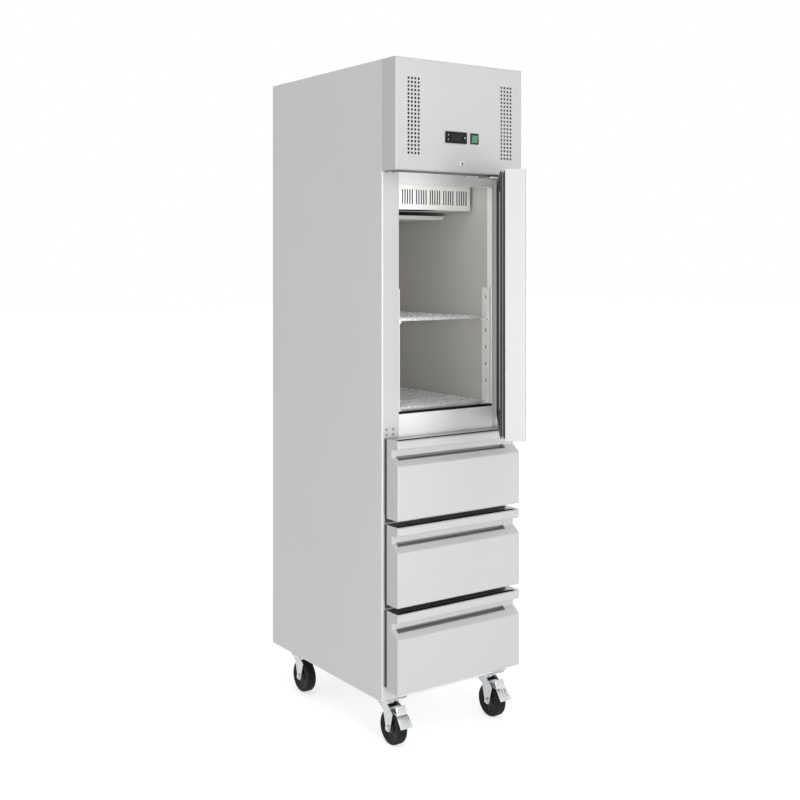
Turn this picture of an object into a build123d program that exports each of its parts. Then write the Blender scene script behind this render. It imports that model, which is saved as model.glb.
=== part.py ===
from build123d import *
from math import cos, radians, sin
import os

# Slim upright commercial refrigerator: one foamed door over three pan drawers, on swivel castors.
# Millimetres, +Z up, front towards -Y. The origin is on the floor, midway across the width,
# and midway between the back of the cabinet and the free corner of the door as it stands open.

# Cabinet shell
body_width = 472.0
body_depth = 650.0
body_height = 1860.0
castor_height = 135.0
sheet = 1.0
wall = 60.0
back_wall = 60.0
corner_bend = 5.0
rail_return = 20.0
head_corner = 10.0

# Heights above the underside of the body
bay_floor = 57.0
bay_ceiling = 743.0
sill_top = 828.0
head_bottom = 1503.0
cavity_ceiling = 1510.0
deck_height = 1565.0
fascia_bottom = 1536.5

# Front plane of fascia, door and drawers, ahead of the front frame
front_reach = 70.0
front_thickness = 56.0
front_corner = 6.0
side_reveal = 8.0
seal_clearance = 0.3
seal_inset = 6.0
seal_width = 16.0
seal_neck = 10.0
seal_foot = 4.0
seal_head = 4.5

# Door
door_bottom = 790.0
door_height = 735.0
door_open_angle = 51.5
hinge_inset = 9.0
hinge_setback = 55.0
tray_margin = 40.0
tray_rise = 6.0

# Hinge brackets, pins and their screws
pin_radius = 4.0
pin_play = 0.05
pin_grip = 16.0
shoulder_radius = 7.0
arm_thickness = 4.0
leaf_thickness = 3.0
leaf_width = 40.0
leaf_height = 31.0
leaf_lift = 5.0
upper_arm_width = 108.0
upper_arm_gap = 2.0
upper_leaf_height = 30.0
screw_spacing_x = 23.5
screw_spacing_z = 15.3
screw_radius = 2.4
screw_play = 0.2
screw_head_radius = 4.5
screw_head_height = 2.4
screw_length = 12.0
plug_head_height = 1.2
plug_length = 6.0

# Drawers
drawer_count = 3
drawer_bottom = 37.0
drawer_height = 230.0
drawer_gap = 18.0
drawer_overlap = 20.0
drawer_edge = 8.0
lip_height = 27.0
lip_underside_radius = 5.0
grip_depth = 32.0
grip_wall_bottom = 52.0
grip_slope_bottom = 74.0
grip_slope_radius = 6.0
slot_height = 11.0
slot_depth = 16.0
slot_left_inset = 16.0
slot_right_inset = 40.0
mullion_depth = 40.0

# Drawer frames and their telescopic slides
pan_length = 530.0
pan_flange = 11.0
frame_sheet = 1.5
frame_web = 112.0
frame_top_gap = 18.0
rear_bar_height = 40.0
slide_length = 500.0
slide_height = 46.0
slide_width = 12.7
slide_sheet = 1.2
slide_clearance = 0.3
slide_drop = 62.0
slide_setback = 8.0

# Fascia and what it carries
fascia_bend = 4.0
vent_hole = 6.5
vent_pitch_x = 12.0
vent_pitch_z = 11.3
vent_columns = 4
vent_rows = 20
vent_center_x = 173.0
vent_center_z = 1694.0
control_row_z = 1639.5
controller_x = -20.0
controller_width = 79.0
controller_height = 34.0
controller_flange = 4.0
controller_case_width = 71.0
controller_case_height = 29.0
controller_case_depth = 50.0
cutout_clearance = 0.3
window_width = 44.0
window_height = 21.0
window_recess = 1.0
key_size = 5.4
key_clearance = 0.3
key_travel = 0.8
key_depth = 3.2
key_bore_depth = 3.6
key_offset_x = 31.0
key_offset_z = 6.5
switch_x = 49.0
switch_flange_width = 30.0
switch_flange_height = 32.0
switch_flange = 3.0
switch_case_width = 27.0
switch_case_height = 29.0
switch_case_depth = 18.0
rocker_width = 20.0
rocker_half_height = 11.8
rocker_rise = 8.6
rocker_waist = 7.0
rocker_tail = 3.0
rocker_tail_half = 9.0
rocker_tilt = 7.5
rocker_play = 0.3
rocker_pivot_depth = 4.0
rocker_pin_radius = 1.5
rocker_pin_reach = 2.0
lock_x = 3.0
lock_z = 1563.0
lock_flange_radius = 9.0
lock_flange = 2.0
lock_barrel_radius = 8.0
lock_barrel_depth = 26.0
plug_radius = 6.0
cam_thickness = 3.0
cam_half_width = 6.0
cam_length = 44.0
cam_rest_angle = 48.0
cam_clearance = 2.0
keyway_width = 1.6
keyway_height = 7.0
keyway_depth = 2.0

# Cooling unit
compressor_radius = 80.0
compressor_height = 170.0
compressor_crown = 40.0
compressor_x = -70.0
compressor_depth = 400.0
compressor_foot = 4.0
compressor_base_x = 210.0
compressor_base_y = 170.0
compressor_shell = 3.5
pump_radius = 50.0
pump_height = 100.0
condenser_width = 400.0
condenser_height = 240.0
condenser_thickness = 40.0
condenser_setback = 14.0
fin_thickness = 0.5
fin_pitch = 5.0
tube_radius = 4.0
tube_rise = 22.0
tube_run = 30.0
shroud_depth = 26.0
shroud_wall = 2.0
condenser_fan_radius = 98.0
evaporator_fan_radius = 64.0
fan_tip_clearance = 5.0
blade_count = 5
blade_thickness = 1.5
blade_pitch = 28.0
fan_hub_height = 14.0
fan_shaft_radius = 3.0
motor_radius = 28.0
motor_height = 38.0
motor_gap = 4.0
motor_bore_play = 1.0
strut_width = 24.0
strut_overlap = 10.0
cover_half_width = 164.0
cover_front = 94.0
cover_back = 250.0
cover_bottom = 1433.0
louvre_groups = 6
louvre_per_group = 5
louvre_pitch = 9.0
louvre_group_pitch = 52.0
louvre_width = 4.5
louvre_height = 46.0
coil_half_width = 150.0
coil_front = 252.0
coil_back = 530.0
coil_bottom = 1434.0
coil_height = 66.0
coil_strap = 20.0
drip_tray_half_width = 168.0
drip_tray_front = 239.0
drip_tray_top = 1421.0
drip_tray_height = 12.0
drip_tray_wall = 2.0

# Shelves and their supports
pilaster_width = 36.0
pilaster_proud = 7.0
pilaster_bottom = 834.0
pilaster_top = 1194.0
pilaster_front = 5.0
pilaster_sheet = 1.2
pilaster_slot_pitch = 52.0
pilaster_slot_count = 7
pilaster_slot_first = 19.0
pilaster_slot_height = 9.0
pilaster_slot_width = 5.0
clip_length = 26.0
clip_plate = 2.0
clip_reach = 9.0
clip_height = 7.0
clip_drop = 14.0
clip_tongue_reach = 3.0
clip_play = 0.5
shelf_slots = (0, 5)
shelf_side_gap = 3.5
shelf_front = 18.0
shelf_back_gap = 12.0
shelf_bar = 5.0
shelf_wire = 2.0
shelf_wire_pitch = 22.0
shelf_cross_bars = 3

# White breaker strip round the door opening
breaker_depth = 24.0
breaker_thickness = 2.0

# Castors
castor_x = 186.0
castor_front = 46.0
castor_back = 560.0
wheel_radius = 50.0
wheel_width = 32.0
wheel_edge = 6.0
hub_radius = 15.0
hub_groove = 4.0
rim_radius = 36.0
axle_radius = 5.0
axle_play = 0.05
castor_trail = 34.0
plate_x = 80.0
plate_y = 100.0
plate_thickness = 3.0
plate_corner = 8.0
bolt_spacing_x = 58.0
bolt_spacing_y = 78.0
bolt_radius = 4.0
bolt_play = 0.25
bolt_head_radius = 7.5
bolt_head_height = 5.0
bolt_length = 16.0
race_radius = 25.0
race_height = 8.0
kingpin_radius = 6.0
kingpin_play = 0.05
kingpin_head_radius = 11.0
kingpin_head_height = 3.0
crown_radius = 26.0
crown_height = 11.4
castor_gap = 0.3
leg_thickness = 2.5
leg_top_width = 50.0
leg_end_radius = 11.0
axle_nut_radius = 8.0
axle_nut_height = 5.0
pedal_pivot_y = -36.0
pedal_pivot_z = 106.0
pedal_pin_radius = 3.0
pedal_pin_reach = 22.0
pedal_curl_radius = 4.6
pedal_ear_radius = 7.5
pedal_plate = 2.5
pedal_width = 34.0
pedal_toe_width = 43.0
pedal_toe_start = -78.0
pedal_bend_y = -74.0
pedal_bend_z = 95.0
pedal_heel_y = -66.0
pedal_heel_z = 120.0
pedal_toe_y = -101.0
pedal_toe_z = 66.0
pedal_bend_radius = 5.0

# Back of the cabinet
rear_slot_length = 140.0
rear_slot_height = 6.0
rear_slot_pitch = 16.0
rear_slot_rows = 12
rear_slot_columns = 2
rear_slot_pitch_x = 170.0
rear_slot_center_z = 1720.0
inlet_x = 150.0
inlet_z = 1596.0
inlet_width = 50.0
inlet_height = 27.0
inlet_flange = 2.0
inlet_case_width = 30.0
inlet_case_height = 22.0
inlet_case_depth = 24.0
inlet_recess = 17.0
inlet_wall = 3.0
contact_width = 2.0
contact_height = 6.0
contact_length = 14.0
contact_spacing = 7.0

# Places worked out from the sizes above
half_width = body_width / 2
cavity_half = half_width - wall
drawer_half = half_width - side_reveal
seal_gap = front_reach - front_thickness
hinge_x = drawer_half - hinge_inset
corner_from_hinge_x = front_corner - drawer_half - hinge_x
corner_from_hinge_y = front_corner + hinge_setback - front_reach
open_angle = radians(door_open_angle)
open_corner = corner_from_hinge_x * sin(open_angle) + corner_from_hinge_y * cos(open_angle)
open_reach = hinge_setback - open_corner + front_corner
front_y = (open_reach - body_depth - inlet_flange) / 2
hinge_y = front_y - hinge_setback
top_z = castor_height + body_height
drawer_pitch = drawer_height + drawer_gap
drawer_opening = drawer_height - 2 * drawer_overlap
cavity_depth = body_depth - back_wall
face_y = front_y - front_reach


def behind(distance):
    """Y at a distance behind the front frame."""
    return front_y + distance


def above(height):
    """Z at a height above the underside of the body."""
    return castor_height + height


def block(low, high, mode=Mode.ADD):
    """Box between two opposite corners, joined to the sub-part being built."""
    size = [b - a for a, b in zip(low, high)]
    middle = tuple((a + b) / 2 for a, b in zip(low, high))
    with Locations(middle):
        Box(*size, mode=mode)


def slab(low, high):
    """Box between two opposite corners, as a piece of its own."""
    with BuildPart() as piece:
        block(low, high)
    return piece.part.solid()


def bore(radius, start, depth, mode=Mode.SUBTRACT):
    """Round hole or pin from a start point along +Z, or along -Z for a negative depth."""
    x, y, z = start
    with Locations((x, y, z + depth / 2)):
        Cylinder(radius, abs(depth), mode=mode)


def outline(points, radii):
    """Face bounded by straight runs, with a radius at each corner."""
    with BuildSketch() as face:
        with BuildLine():
            FilletPolyline(*points, radius=radii, close=True)
        make_face()
    return face.sketch


def folded(points, radius, thickness, side):
    """Section of a folded sheet: a path with rounded folds, thickened to one side."""
    with BuildSketch() as section:
        with BuildLine():
            FilletPolyline(*points, radius=radius)
            offset(amount=thickness, side=side)
        make_face()
    return section.sketch


def write(part, name):
    """Label a finished piece and save it under its own name."""
    part.label = name
    export_step(part, f"parts/{name}.step")


os.makedirs("parts", exist_ok=True)


# Screw places shared by the hinge brackets and the stiles
screw_x = hinge_x + hinge_inset - leaf_width / 2
lower_leaf_bottom = door_bottom + leaf_lift - leaf_height
lower_screw_z = lower_leaf_bottom + leaf_height / 2
upper_arm_bottom = door_bottom + door_height + upper_arm_gap
upper_screw_z = upper_arm_bottom + arm_thickness + (upper_leaf_height - arm_thickness) / 2

# Side panels: each sheet is folded round the front corner into the stile
with BuildPart() as side_panel:
    with BuildSketch(Plane.XY.offset(above(0))):
        add(
            folded(
                [
                    (-cavity_half, front_y),
                    (-half_width, front_y),
                    (-half_width, behind(body_depth)),
                ],
                corner_bend,
                sheet,
                Side.RIGHT,
            )
        )
    extrude(amount=body_height)
    for height in (lower_screw_z, upper_screw_z):
        with BuildSketch(Plane.XZ.offset(-front_y)):
            with Locations((-screw_x, above(height))):
                with GridLocations(screw_spacing_x, screw_spacing_z, 2, 2):
                    Circle(screw_radius + screw_play)
        extrude(amount=-2 * sheet, mode=Mode.SUBTRACT)
side_panels = Part(children=[side_panel.part.solid(), side_panel.part.mirror(Plane.YZ).solid()])
write(side_panels, "side_panels")

# Back panel with louvre slots behind the cooling unit and a cut-out for the mains inlet
with BuildPart() as back_panel:
    block(
        (sheet - half_width, behind(body_depth - sheet), above(0)),
        (half_width - sheet, behind(body_depth), top_z),
    )
    with BuildSketch(Plane.XZ.offset(-behind(body_depth))):
        with Locations((0, above(rear_slot_center_z))):
            with GridLocations(
                rear_slot_pitch_x, rear_slot_pitch, rear_slot_columns, rear_slot_rows
            ):
                SlotOverall(rear_slot_length, rear_slot_height)
        with Locations((inlet_x, above(inlet_z))):
            Rectangle(
                inlet_case_width + 2 * cutout_clearance,
                inlet_case_height + 2 * cutout_clearance,
            )
    extrude(amount=2 * sheet, both=True, mode=Mode.SUBTRACT)
write(back_panel.part, "back_panel")

# Top cover and base panel, let in between the side panels
with BuildPart() as top_cover:
    block(
        (sheet - half_width, behind(sheet), top_z - sheet),
        (half_width - sheet, behind(body_depth - sheet), top_z),
    )
    fillet(top_cover.edges().filter_by(Axis.Z).group_by(Axis.Y)[0], radius=corner_bend)
write(top_cover.part, "top_cover")

with BuildPart() as base_panel:
    block(
        (sheet - half_width, behind(sheet), above(0)),
        (half_width - sheet, behind(body_depth - sheet), above(sheet)),
    )
    fillet(base_panel.edges().filter_by(Axis.Z).group_by(Axis.Y)[0], radius=corner_bend)
    with BuildSketch(Plane.XY.offset(above(0))):
        for castor_y in (castor_front, castor_back):
            for side in (-1, 1):
                with Locations((side * castor_x, behind(castor_y))):
                    with GridLocations(bolt_spacing_x, bolt_spacing_y, 2, 2):
                        Circle(bolt_radius + bolt_play)
    extrude(amount=sheet, mode=Mode.SUBTRACT)
write(base_panel.part, "base_panel")

# Deck between the insulated box and the cooling unit
with BuildPart() as machine_deck:
    block(
        (sheet - half_width, behind(sheet), above(deck_height)),
        (half_width - sheet, behind(body_depth - sheet), above(deck_height + sheet)),
    )
    fillet(machine_deck.edges().filter_by(Axis.Z).group_by(Axis.Y)[0], radius=corner_bend)
write(machine_deck.part, "machine_deck")

# Front rails: head, sill, two mullions and the base rail, each a channel open to the back
mullion_levels = [
    drawer_bottom + drawer_pitch * number - drawer_gap / 2 for number in range(1, drawer_count)
]
mullion_half = drawer_gap / 2 + drawer_overlap


def channel(bottom, top, depth):
    """Front rail folded back at its top and bottom edges."""
    block((-cavity_half, front_y, above(bottom)), (cavity_half, behind(depth), above(top)))
    block(
        (-cavity_half, behind(sheet), above(bottom + sheet)),
        (cavity_half, behind(depth), above(top - sheet)),
        mode=Mode.SUBTRACT,
    )


with BuildPart() as front_rails:
    channel(head_bottom, deck_height, rail_return)
    channel(bay_ceiling, sill_top, rail_return)
    channel(sheet, bay_floor, rail_return)
    for level in mullion_levels:
        channel(level - mullion_half, level + mullion_half, mullion_depth)
    for side in (-1, 1):
        with BuildSketch(Plane.XZ.offset(-front_y)):
            with Locations((side * (cavity_half - head_corner / 2), above(head_bottom))):
                Rectangle(head_corner, 2 * head_corner)
            with Locations((side * (cavity_half - head_corner), above(head_bottom - head_corner))):
                Circle(head_corner, mode=Mode.SUBTRACT)
        extrude(amount=-sheet)
        bolt_start = (
            side * (castor_x - bolt_spacing_x / 2),
            behind(castor_front - bolt_spacing_y / 2),
            above(0),
        )
        bore(bolt_radius + bolt_play, bolt_start, 2 * sheet)
write(front_rails.part, "front_rails")


# Liner sheets of the door compartment and of the drawer bay, five for each
def liner(bottom, top, front):
    """Two sides, a back, a ceiling and a floor, face to face at their edges."""
    back = behind(cavity_depth)
    sheets = [
        slab((-cavity_half - sheet, behind(front), above(bottom)), (-cavity_half, back, above(top))),
        slab((cavity_half, behind(front), above(bottom)), (cavity_half + sheet, back, above(top))),
        slab(
            (-cavity_half - sheet, back, above(bottom - sheet)),
            (cavity_half + sheet, back + sheet, above(top + sheet)),
        ),
    ]
    for height in (bottom - sheet, top):
        sheets.append(
            slab(
                (-cavity_half - sheet, behind(front), above(height)),
                (cavity_half + sheet, back, above(height + sheet)),
            )
        )
    return sheets


liner_panels = Part(
    children=[
        *liner(sill_top, cavity_ceiling, breaker_depth),
        *liner(bay_floor, bay_ceiling, rail_return),
    ]
)
write(liner_panels, "liner_panels")

# Foam that fills the walls between the outer sheets and the liners
with BuildPart() as insulation:
    block(
        (sheet - half_width, behind(sheet), above(sheet)),
        (half_width - sheet, behind(body_depth - sheet), above(deck_height)),
    )
    fillet(insulation.edges().filter_by(Axis.Z).group_by(Axis.Y)[0], radius=corner_bend)
    for bottom, top in ((sill_top, cavity_ceiling), (bay_floor, bay_ceiling)):
        block(
            (-cavity_half - sheet, behind(sheet), above(bottom - sheet)),
            (cavity_half + sheet, behind(cavity_depth + sheet), above(top + sheet)),
            mode=Mode.SUBTRACT,
        )
    for bottom, top in ((head_bottom, deck_height), (bay_ceiling, sill_top), (sheet, bay_floor)):
        block(
            (-cavity_half, behind(sheet), above(bottom)),
            (cavity_half, behind(rail_return), above(top)),
            mode=Mode.SUBTRACT,
        )
    block(
        (-cavity_half - breaker_thickness, behind(sheet), above(sill_top - breaker_thickness)),
        (
            cavity_half + breaker_thickness,
            behind(breaker_depth),
            above(cavity_ceiling + breaker_thickness),
        ),
        mode=Mode.SUBTRACT,
    )
    with BuildSketch(Plane.XZ.offset(-behind(sheet))):
        for side in (-1, 1):
            for height in (lower_screw_z, upper_screw_z):
                with Locations((side * screw_x, above(height))):
                    with GridLocations(screw_spacing_x, screw_spacing_z, 2, 2):
                        Circle(screw_radius + screw_play)
    extrude(amount=-screw_length, mode=Mode.SUBTRACT)
    with BuildSketch(Plane.XY.offset(above(sheet))):
        for castor_y in (castor_front, castor_back):
            for side in (-1, 1):
                with Locations((side * castor_x, behind(castor_y))):
                    with GridLocations(bolt_spacing_x, bolt_spacing_y, 2, 2):
                        Circle(bolt_radius + bolt_play)
    extrude(amount=bolt_length, mode=Mode.SUBTRACT)
write(insulation.part, "insulation")

# White breaker strips up both sides of the door opening, flush with the liner
with BuildPart() as breaker_strips:
    for side in (-1, 1):
        x_low, x_high = sorted((side * cavity_half, side * (cavity_half + breaker_thickness)))
        block(
            (x_low, behind(sheet), above(sill_top)),
            (x_high, behind(breaker_depth), above(cavity_ceiling)),
        )
write(breaker_strips.part, "breaker_strips")

# Fascia: a pan with rolled edges, pierced for the vents, the controller, the switch and the lock
with BuildPart() as fascia_panel:
    block((-half_width, face_y, above(fascia_bottom)), (half_width, front_y, top_z))
    fillet(fascia_panel.edges().group_by(Axis.Y)[0], radius=fascia_bend)
    offset(amount=-sheet, openings=fascia_panel.faces().sort_by(Axis.Y)[-1])
    with BuildSketch(Plane.XZ.offset(-face_y)):
        for side in (-1, 1):
            with Locations((side * vent_center_x, above(vent_center_z))):
                with GridLocations(vent_pitch_x, vent_pitch_z, vent_columns, vent_rows):
                    Rectangle(vent_hole, vent_hole)
        with Locations((controller_x, above(control_row_z))):
            Rectangle(
                controller_case_width + 2 * cutout_clearance,
                controller_case_height + 2 * cutout_clearance,
            )
        with Locations((switch_x, above(control_row_z))):
            Rectangle(
                switch_case_width + 2 * cutout_clearance,
                switch_case_height + 2 * cutout_clearance,
            )
        with Locations((lock_x, above(lock_z))):
            Circle(lock_barrel_radius + cutout_clearance)
    extrude(amount=-2 * sheet, mode=Mode.SUBTRACT)
    cam_front = face_y + lock_barrel_depth
    block(
        (lock_x - cam_half_width - cam_clearance, cam_front - cam_clearance, above(fascia_bottom)),
        (
            lock_x + cam_length * sin(radians(cam_rest_angle)) + cam_half_width + cam_clearance,
            cam_front + cam_thickness + cam_clearance,
            above(fascia_bottom + sheet),
        ),
        mode=Mode.SUBTRACT,
    )
    for side in (-1, 1):
        notch_ends = (side * (drawer_half - leaf_width - cutout_clearance), side * half_width)
        block(
            (
                min(notch_ends),
                front_y - leaf_thickness - screw_head_height - cutout_clearance,
                above(fascia_bottom),
            ),
            (max(notch_ends), front_y, above(fascia_bottom + sheet)),
            mode=Mode.SUBTRACT,
        )
write(fascia_panel.part, "fascia_panel")

# Temperature controller: flanged case with key bores and a window, and its display lens
key_places = [
    (controller_x - key_offset_x, control_row_z + key_offset_z),
    (controller_x - key_offset_x, control_row_z - key_offset_z),
    (controller_x + key_offset_x, control_row_z),
]
with BuildPart() as controller_shell:
    block(
        (
            controller_x - controller_width / 2,
            face_y - controller_flange,
            above(control_row_z - controller_height / 2),
        ),
        (
            controller_x + controller_width / 2,
            face_y,
            above(control_row_z + controller_height / 2),
        ),
    )
    fillet(controller_shell.edges().filter_by(Axis.Y), radius=2)
    fillet(controller_shell.faces().sort_by(Axis.Y)[0].edges(), radius=1)
    block(
        (
            controller_x - controller_case_width / 2,
            face_y,
            above(control_row_z - controller_case_height / 2),
        ),
        (
            controller_x + controller_case_width / 2,
            face_y + controller_case_depth,
            above(control_row_z + controller_case_height / 2),
        ),
    )
    with BuildSketch(Plane.XZ.offset(controller_flange - face_y)):
        with Locations(*[(x, above(z)) for x, z in key_places]):
            Rectangle(key_size + 2 * key_clearance, key_size + 2 * key_clearance)
    extrude(amount=-key_bore_depth, mode=Mode.SUBTRACT)
    with BuildSketch(Plane.XZ.offset(controller_flange - face_y)):
        with Locations((controller_x, above(control_row_z))):
            Rectangle(window_width, window_height)
    extrude(amount=-window_recess, mode=Mode.SUBTRACT)
with BuildPart() as controller_lens:
    with BuildSketch(Plane.XZ.offset(controller_flange - face_y - window_recess)):
        with Locations((controller_x, above(control_row_z))):
            Rectangle(window_width - 2 * key_clearance, window_height - 2 * key_clearance)
    extrude(amount=window_recess)
controller_case = Part(
    children=[controller_shell.part.solid(), controller_lens.part.solid()]
)
write(controller_case, "controller_case")

# Three sprung keys of the controller, standing proud by their travel
for key_name, (x, z) in zip(("key_up", "key_down", "key_set"), key_places):
    key_front = face_y - controller_flange - key_travel
    with BuildPart() as key:
        block(
            (x - key_size / 2, key_front, above(z) - key_size / 2),
            (x + key_size / 2, key_front + key_depth, above(z) + key_size / 2),
        )
        fillet(key.faces().sort_by(Axis.Y)[0].edges(), radius=key_travel / 2)
    write(key.part, key_name)

# Mains switch: flanged case with a pocket, and the rocker that tips on a pin across it
pocket_half_x = rocker_width / 2 + rocker_play
pocket_half_z = switch_flange_height / 2 - switch_flange + rocker_play
pivot_y = face_y + rocker_pivot_depth
with BuildPart() as switch_case:
    block(
        (
            switch_x - switch_flange_width / 2,
            face_y - switch_flange,
            above(control_row_z - switch_flange_height / 2),
        ),
        (
            switch_x + switch_flange_width / 2,
            face_y,
            above(control_row_z + switch_flange_height / 2),
        ),
    )
    fillet(switch_case.edges().filter_by(Axis.Y), radius=2)
    block(
        (
            switch_x - switch_case_width / 2,
            face_y,
            above(control_row_z - switch_case_height / 2),
        ),
        (
            switch_x + switch_case_width / 2,
            face_y + switch_case_depth,
            above(control_row_z + switch_case_height / 2),
        ),
    )
    block(
        (switch_x - pocket_half_x, face_y - switch_flange, above(control_row_z) - pocket_half_z),
        (
            switch_x + pocket_half_x,
            pivot_y + rocker_tail + rocker_tail_half / 2,
            above(control_row_z) + pocket_half_z,
        ),
        mode=Mode.SUBTRACT,
    )
    with Locations((switch_x, pivot_y, above(control_row_z))):
        Cylinder(
            rocker_pin_radius + pin_play,
            rocker_width + 2 * rocker_pin_reach + 2 * rocker_play,
            rotation=(0, 90, 0),
            mode=Mode.SUBTRACT,
        )
write(switch_case.part, "switch_case")

rocker_section = Plane(
    origin=(switch_x - rocker_width / 2, pivot_y, above(control_row_z)),
    x_dir=(0, cos(radians(rocker_tilt)), sin(radians(rocker_tilt))),
    z_dir=(1, 0, 0),
)
with BuildPart() as rocker:
    with BuildSketch(rocker_section):
        add(
            outline(
                [
                    (rocker_tail, -rocker_tail_half),
                    (rocker_tail, rocker_tail_half),
                    (-rocker_rise, rocker_half_height),
                    (-rocker_waist, 0),
                    (-rocker_rise, -rocker_half_height),
                ],
                [1, 1, 1, 6, 1],
            )
        )
    extrude(amount=rocker_width)
    with Locations((switch_x, pivot_y, above(control_row_z))):
        Cylinder(
            rocker_pin_radius, rocker_width + 2 * rocker_pin_reach, rotation=(0, 90, 0)
        )
write(rocker.part, "rocker")

# Lock: a flanged barrel in the fascia, and the plug with a cam that drops into the door's top
with BuildPart() as lock_barrel:
    with BuildSketch(Plane.XZ.offset(-face_y)):
        with Locations((lock_x, above(lock_z))):
            Circle(lock_flange_radius)
    extrude(amount=lock_flange)
    fillet(lock_barrel.faces().sort_by(Axis.Y)[0].edges(), radius=lock_flange / 2)
    with BuildSketch(Plane.XZ.offset(-face_y)):
        with Locations((lock_x, above(lock_z))):
            Circle(lock_barrel_radius)
    extrude(amount=-(lock_barrel_depth - castor_gap))
    with BuildSketch(Plane.XZ.offset(lock_flange - face_y)):
        with Locations((lock_x, above(lock_z))):
            Circle(plug_radius + pin_play)
    extrude(amount=-(lock_flange + lock_barrel_depth), mode=Mode.SUBTRACT)
write(lock_barrel.part, "lock_barrel")

cam_plane = Plane(
    origin=(lock_x, cam_front, above(lock_z)),
    x_dir=(sin(radians(cam_rest_angle)), 0, -cos(radians(cam_rest_angle))),
    z_dir=(0, -1, 0),
)
with BuildPart() as lock_plug:
    with BuildSketch(Plane.XZ.offset(lock_flange - face_y)):
        with Locations((lock_x, above(lock_z))):
            Circle(plug_radius)
    extrude(amount=-(lock_flange + lock_barrel_depth))
    with BuildSketch(cam_plane):
        Circle(plug_radius)
        with Locations((cam_length, 0)):
            Circle(cam_half_width)
        make_hull()
    extrude(amount=-cam_thickness)
    with BuildSketch(Plane.XZ.offset(lock_flange - face_y)):
        with Locations((lock_x, above(lock_z))):
            Rectangle(keyway_width, keyway_height)
    extrude(amount=-keyway_depth, mode=Mode.SUBTRACT)
write(lock_plug.part, "lock_plug")


# Compressor on the machine deck: base plate, open-bottomed shell, and the pump inside it
compressor_y = behind(compressor_depth)
compressor_base = slab(
    (
        compressor_x - compressor_base_x / 2,
        compressor_y - compressor_base_y / 2,
        above(deck_height + sheet),
    ),
    (
        compressor_x + compressor_base_x / 2,
        compressor_y + compressor_base_y / 2,
        above(deck_height + sheet + compressor_foot),
    ),
)
can_start = (compressor_x, compressor_y, above(deck_height + sheet + compressor_foot))
with BuildPart() as compressor_can:
    bore(compressor_radius, can_start, compressor_height, mode=Mode.ADD)
    fillet(compressor_can.faces().sort_by(Axis.Z)[-1].edges(), radius=compressor_crown)
    offset(amount=-compressor_shell, openings=compressor_can.faces().sort_by(Axis.Z)[0])
with BuildPart() as compressor_pump:
    bore(pump_radius, can_start, pump_height, mode=Mode.ADD)
compressor = Part(
    children=[compressor_base, compressor_can.part.solid(), compressor_pump.part.solid()]
)
write(compressor, "compressor")


# Finned blocks: upright fins side by side, joined by rows of tubes running across them
def finned_block(low, high):
    """Fins standing across X, with tubes through all of them."""
    width, depth, height = [b - a for a, b in zip(low, high)]
    middle = tuple((a + b) / 2 for a, b in zip(low, high))
    fins = int((width - fin_thickness) / fin_pitch) + 1
    with BuildPart() as finned:
        with Locations(middle):
            with GridLocations((width - fin_thickness) / (fins - 1), 1, fins, 1):
                Box(fin_thickness, depth, height)
            with Locations(Location((0, 0, 0), (0, 90, 0))):
                with GridLocations(tube_rise, tube_run, int(height / tube_rise), int(depth / tube_run)):
                    Cylinder(tube_radius, width)
    return finned.part


# Condenser: finned core, and behind it a shroud with a round opening for the fan
condenser_bottom = above(deck_height + sheet)
condenser_middle = condenser_bottom + condenser_height / 2
core_back = behind(condenser_setback + condenser_thickness)
condenser_core = finned_block(
    (-condenser_width / 2, behind(condenser_setback), condenser_bottom),
    (condenser_width / 2, core_back, condenser_bottom + condenser_height),
).solid()
with BuildPart() as condenser_shroud:
    block(
        (-condenser_width / 2, core_back, condenser_bottom),
        (condenser_width / 2, core_back + shroud_depth, condenser_bottom + condenser_height),
    )
    offset(amount=-shroud_wall, openings=condenser_shroud.faces().sort_by(Axis.Y)[0])
    with BuildSketch(Plane.XZ.offset(-core_back)):
        with Locations((0, condenser_middle)):
            Circle(condenser_fan_radius + fan_tip_clearance)
    extrude(amount=-2 * shroud_depth, mode=Mode.SUBTRACT)
condenser = Part(children=[condenser_core, condenser_shroud.part.solid()])
write(condenser, "condenser")


# Fans: pitched blades on a hub, and a motor bored for the shaft, both about the local +Z
def fan_rotor(radius):
    """Rotor whose hub stands on the local XY plane, with its shaft going up into the motor."""
    with BuildPart() as rotor:
        bore(radius / 4, (0, 0, 0), fan_hub_height, mode=Mode.ADD)
        with PolarLocations(radius * 0.6, blade_count):
            with Locations(Location((0, 0, fan_hub_height / 2), (blade_pitch, 0, 0))):
                Box(radius, radius / 2, blade_thickness)
        bore(radius, (0, 0, 0), fan_hub_height, mode=Mode.INTERSECT)
        shaft_length = motor_gap + motor_height / 2
        bore(fan_shaft_radius, (0, 0, fan_hub_height), shaft_length, mode=Mode.ADD)
    return rotor.part


def fan_motor():
    """Motor above the rotor."""
    with BuildPart() as motor:
        bore(motor_radius, (0, 0, fan_hub_height + motor_gap), motor_height, mode=Mode.ADD)
        fillet(motor.faces().sort_by(Axis.Z)[0].edges(), radius=motor_radius / 6)
        fillet(motor.faces().sort_by(Axis.Z)[-1].edges(), radius=motor_radius / 6)
        bore_depth = motor_gap + motor_height / 2 + motor_bore_play
        bore(fan_shaft_radius + pin_play, (0, 0, fan_hub_height), bore_depth)
    return motor.part


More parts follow.
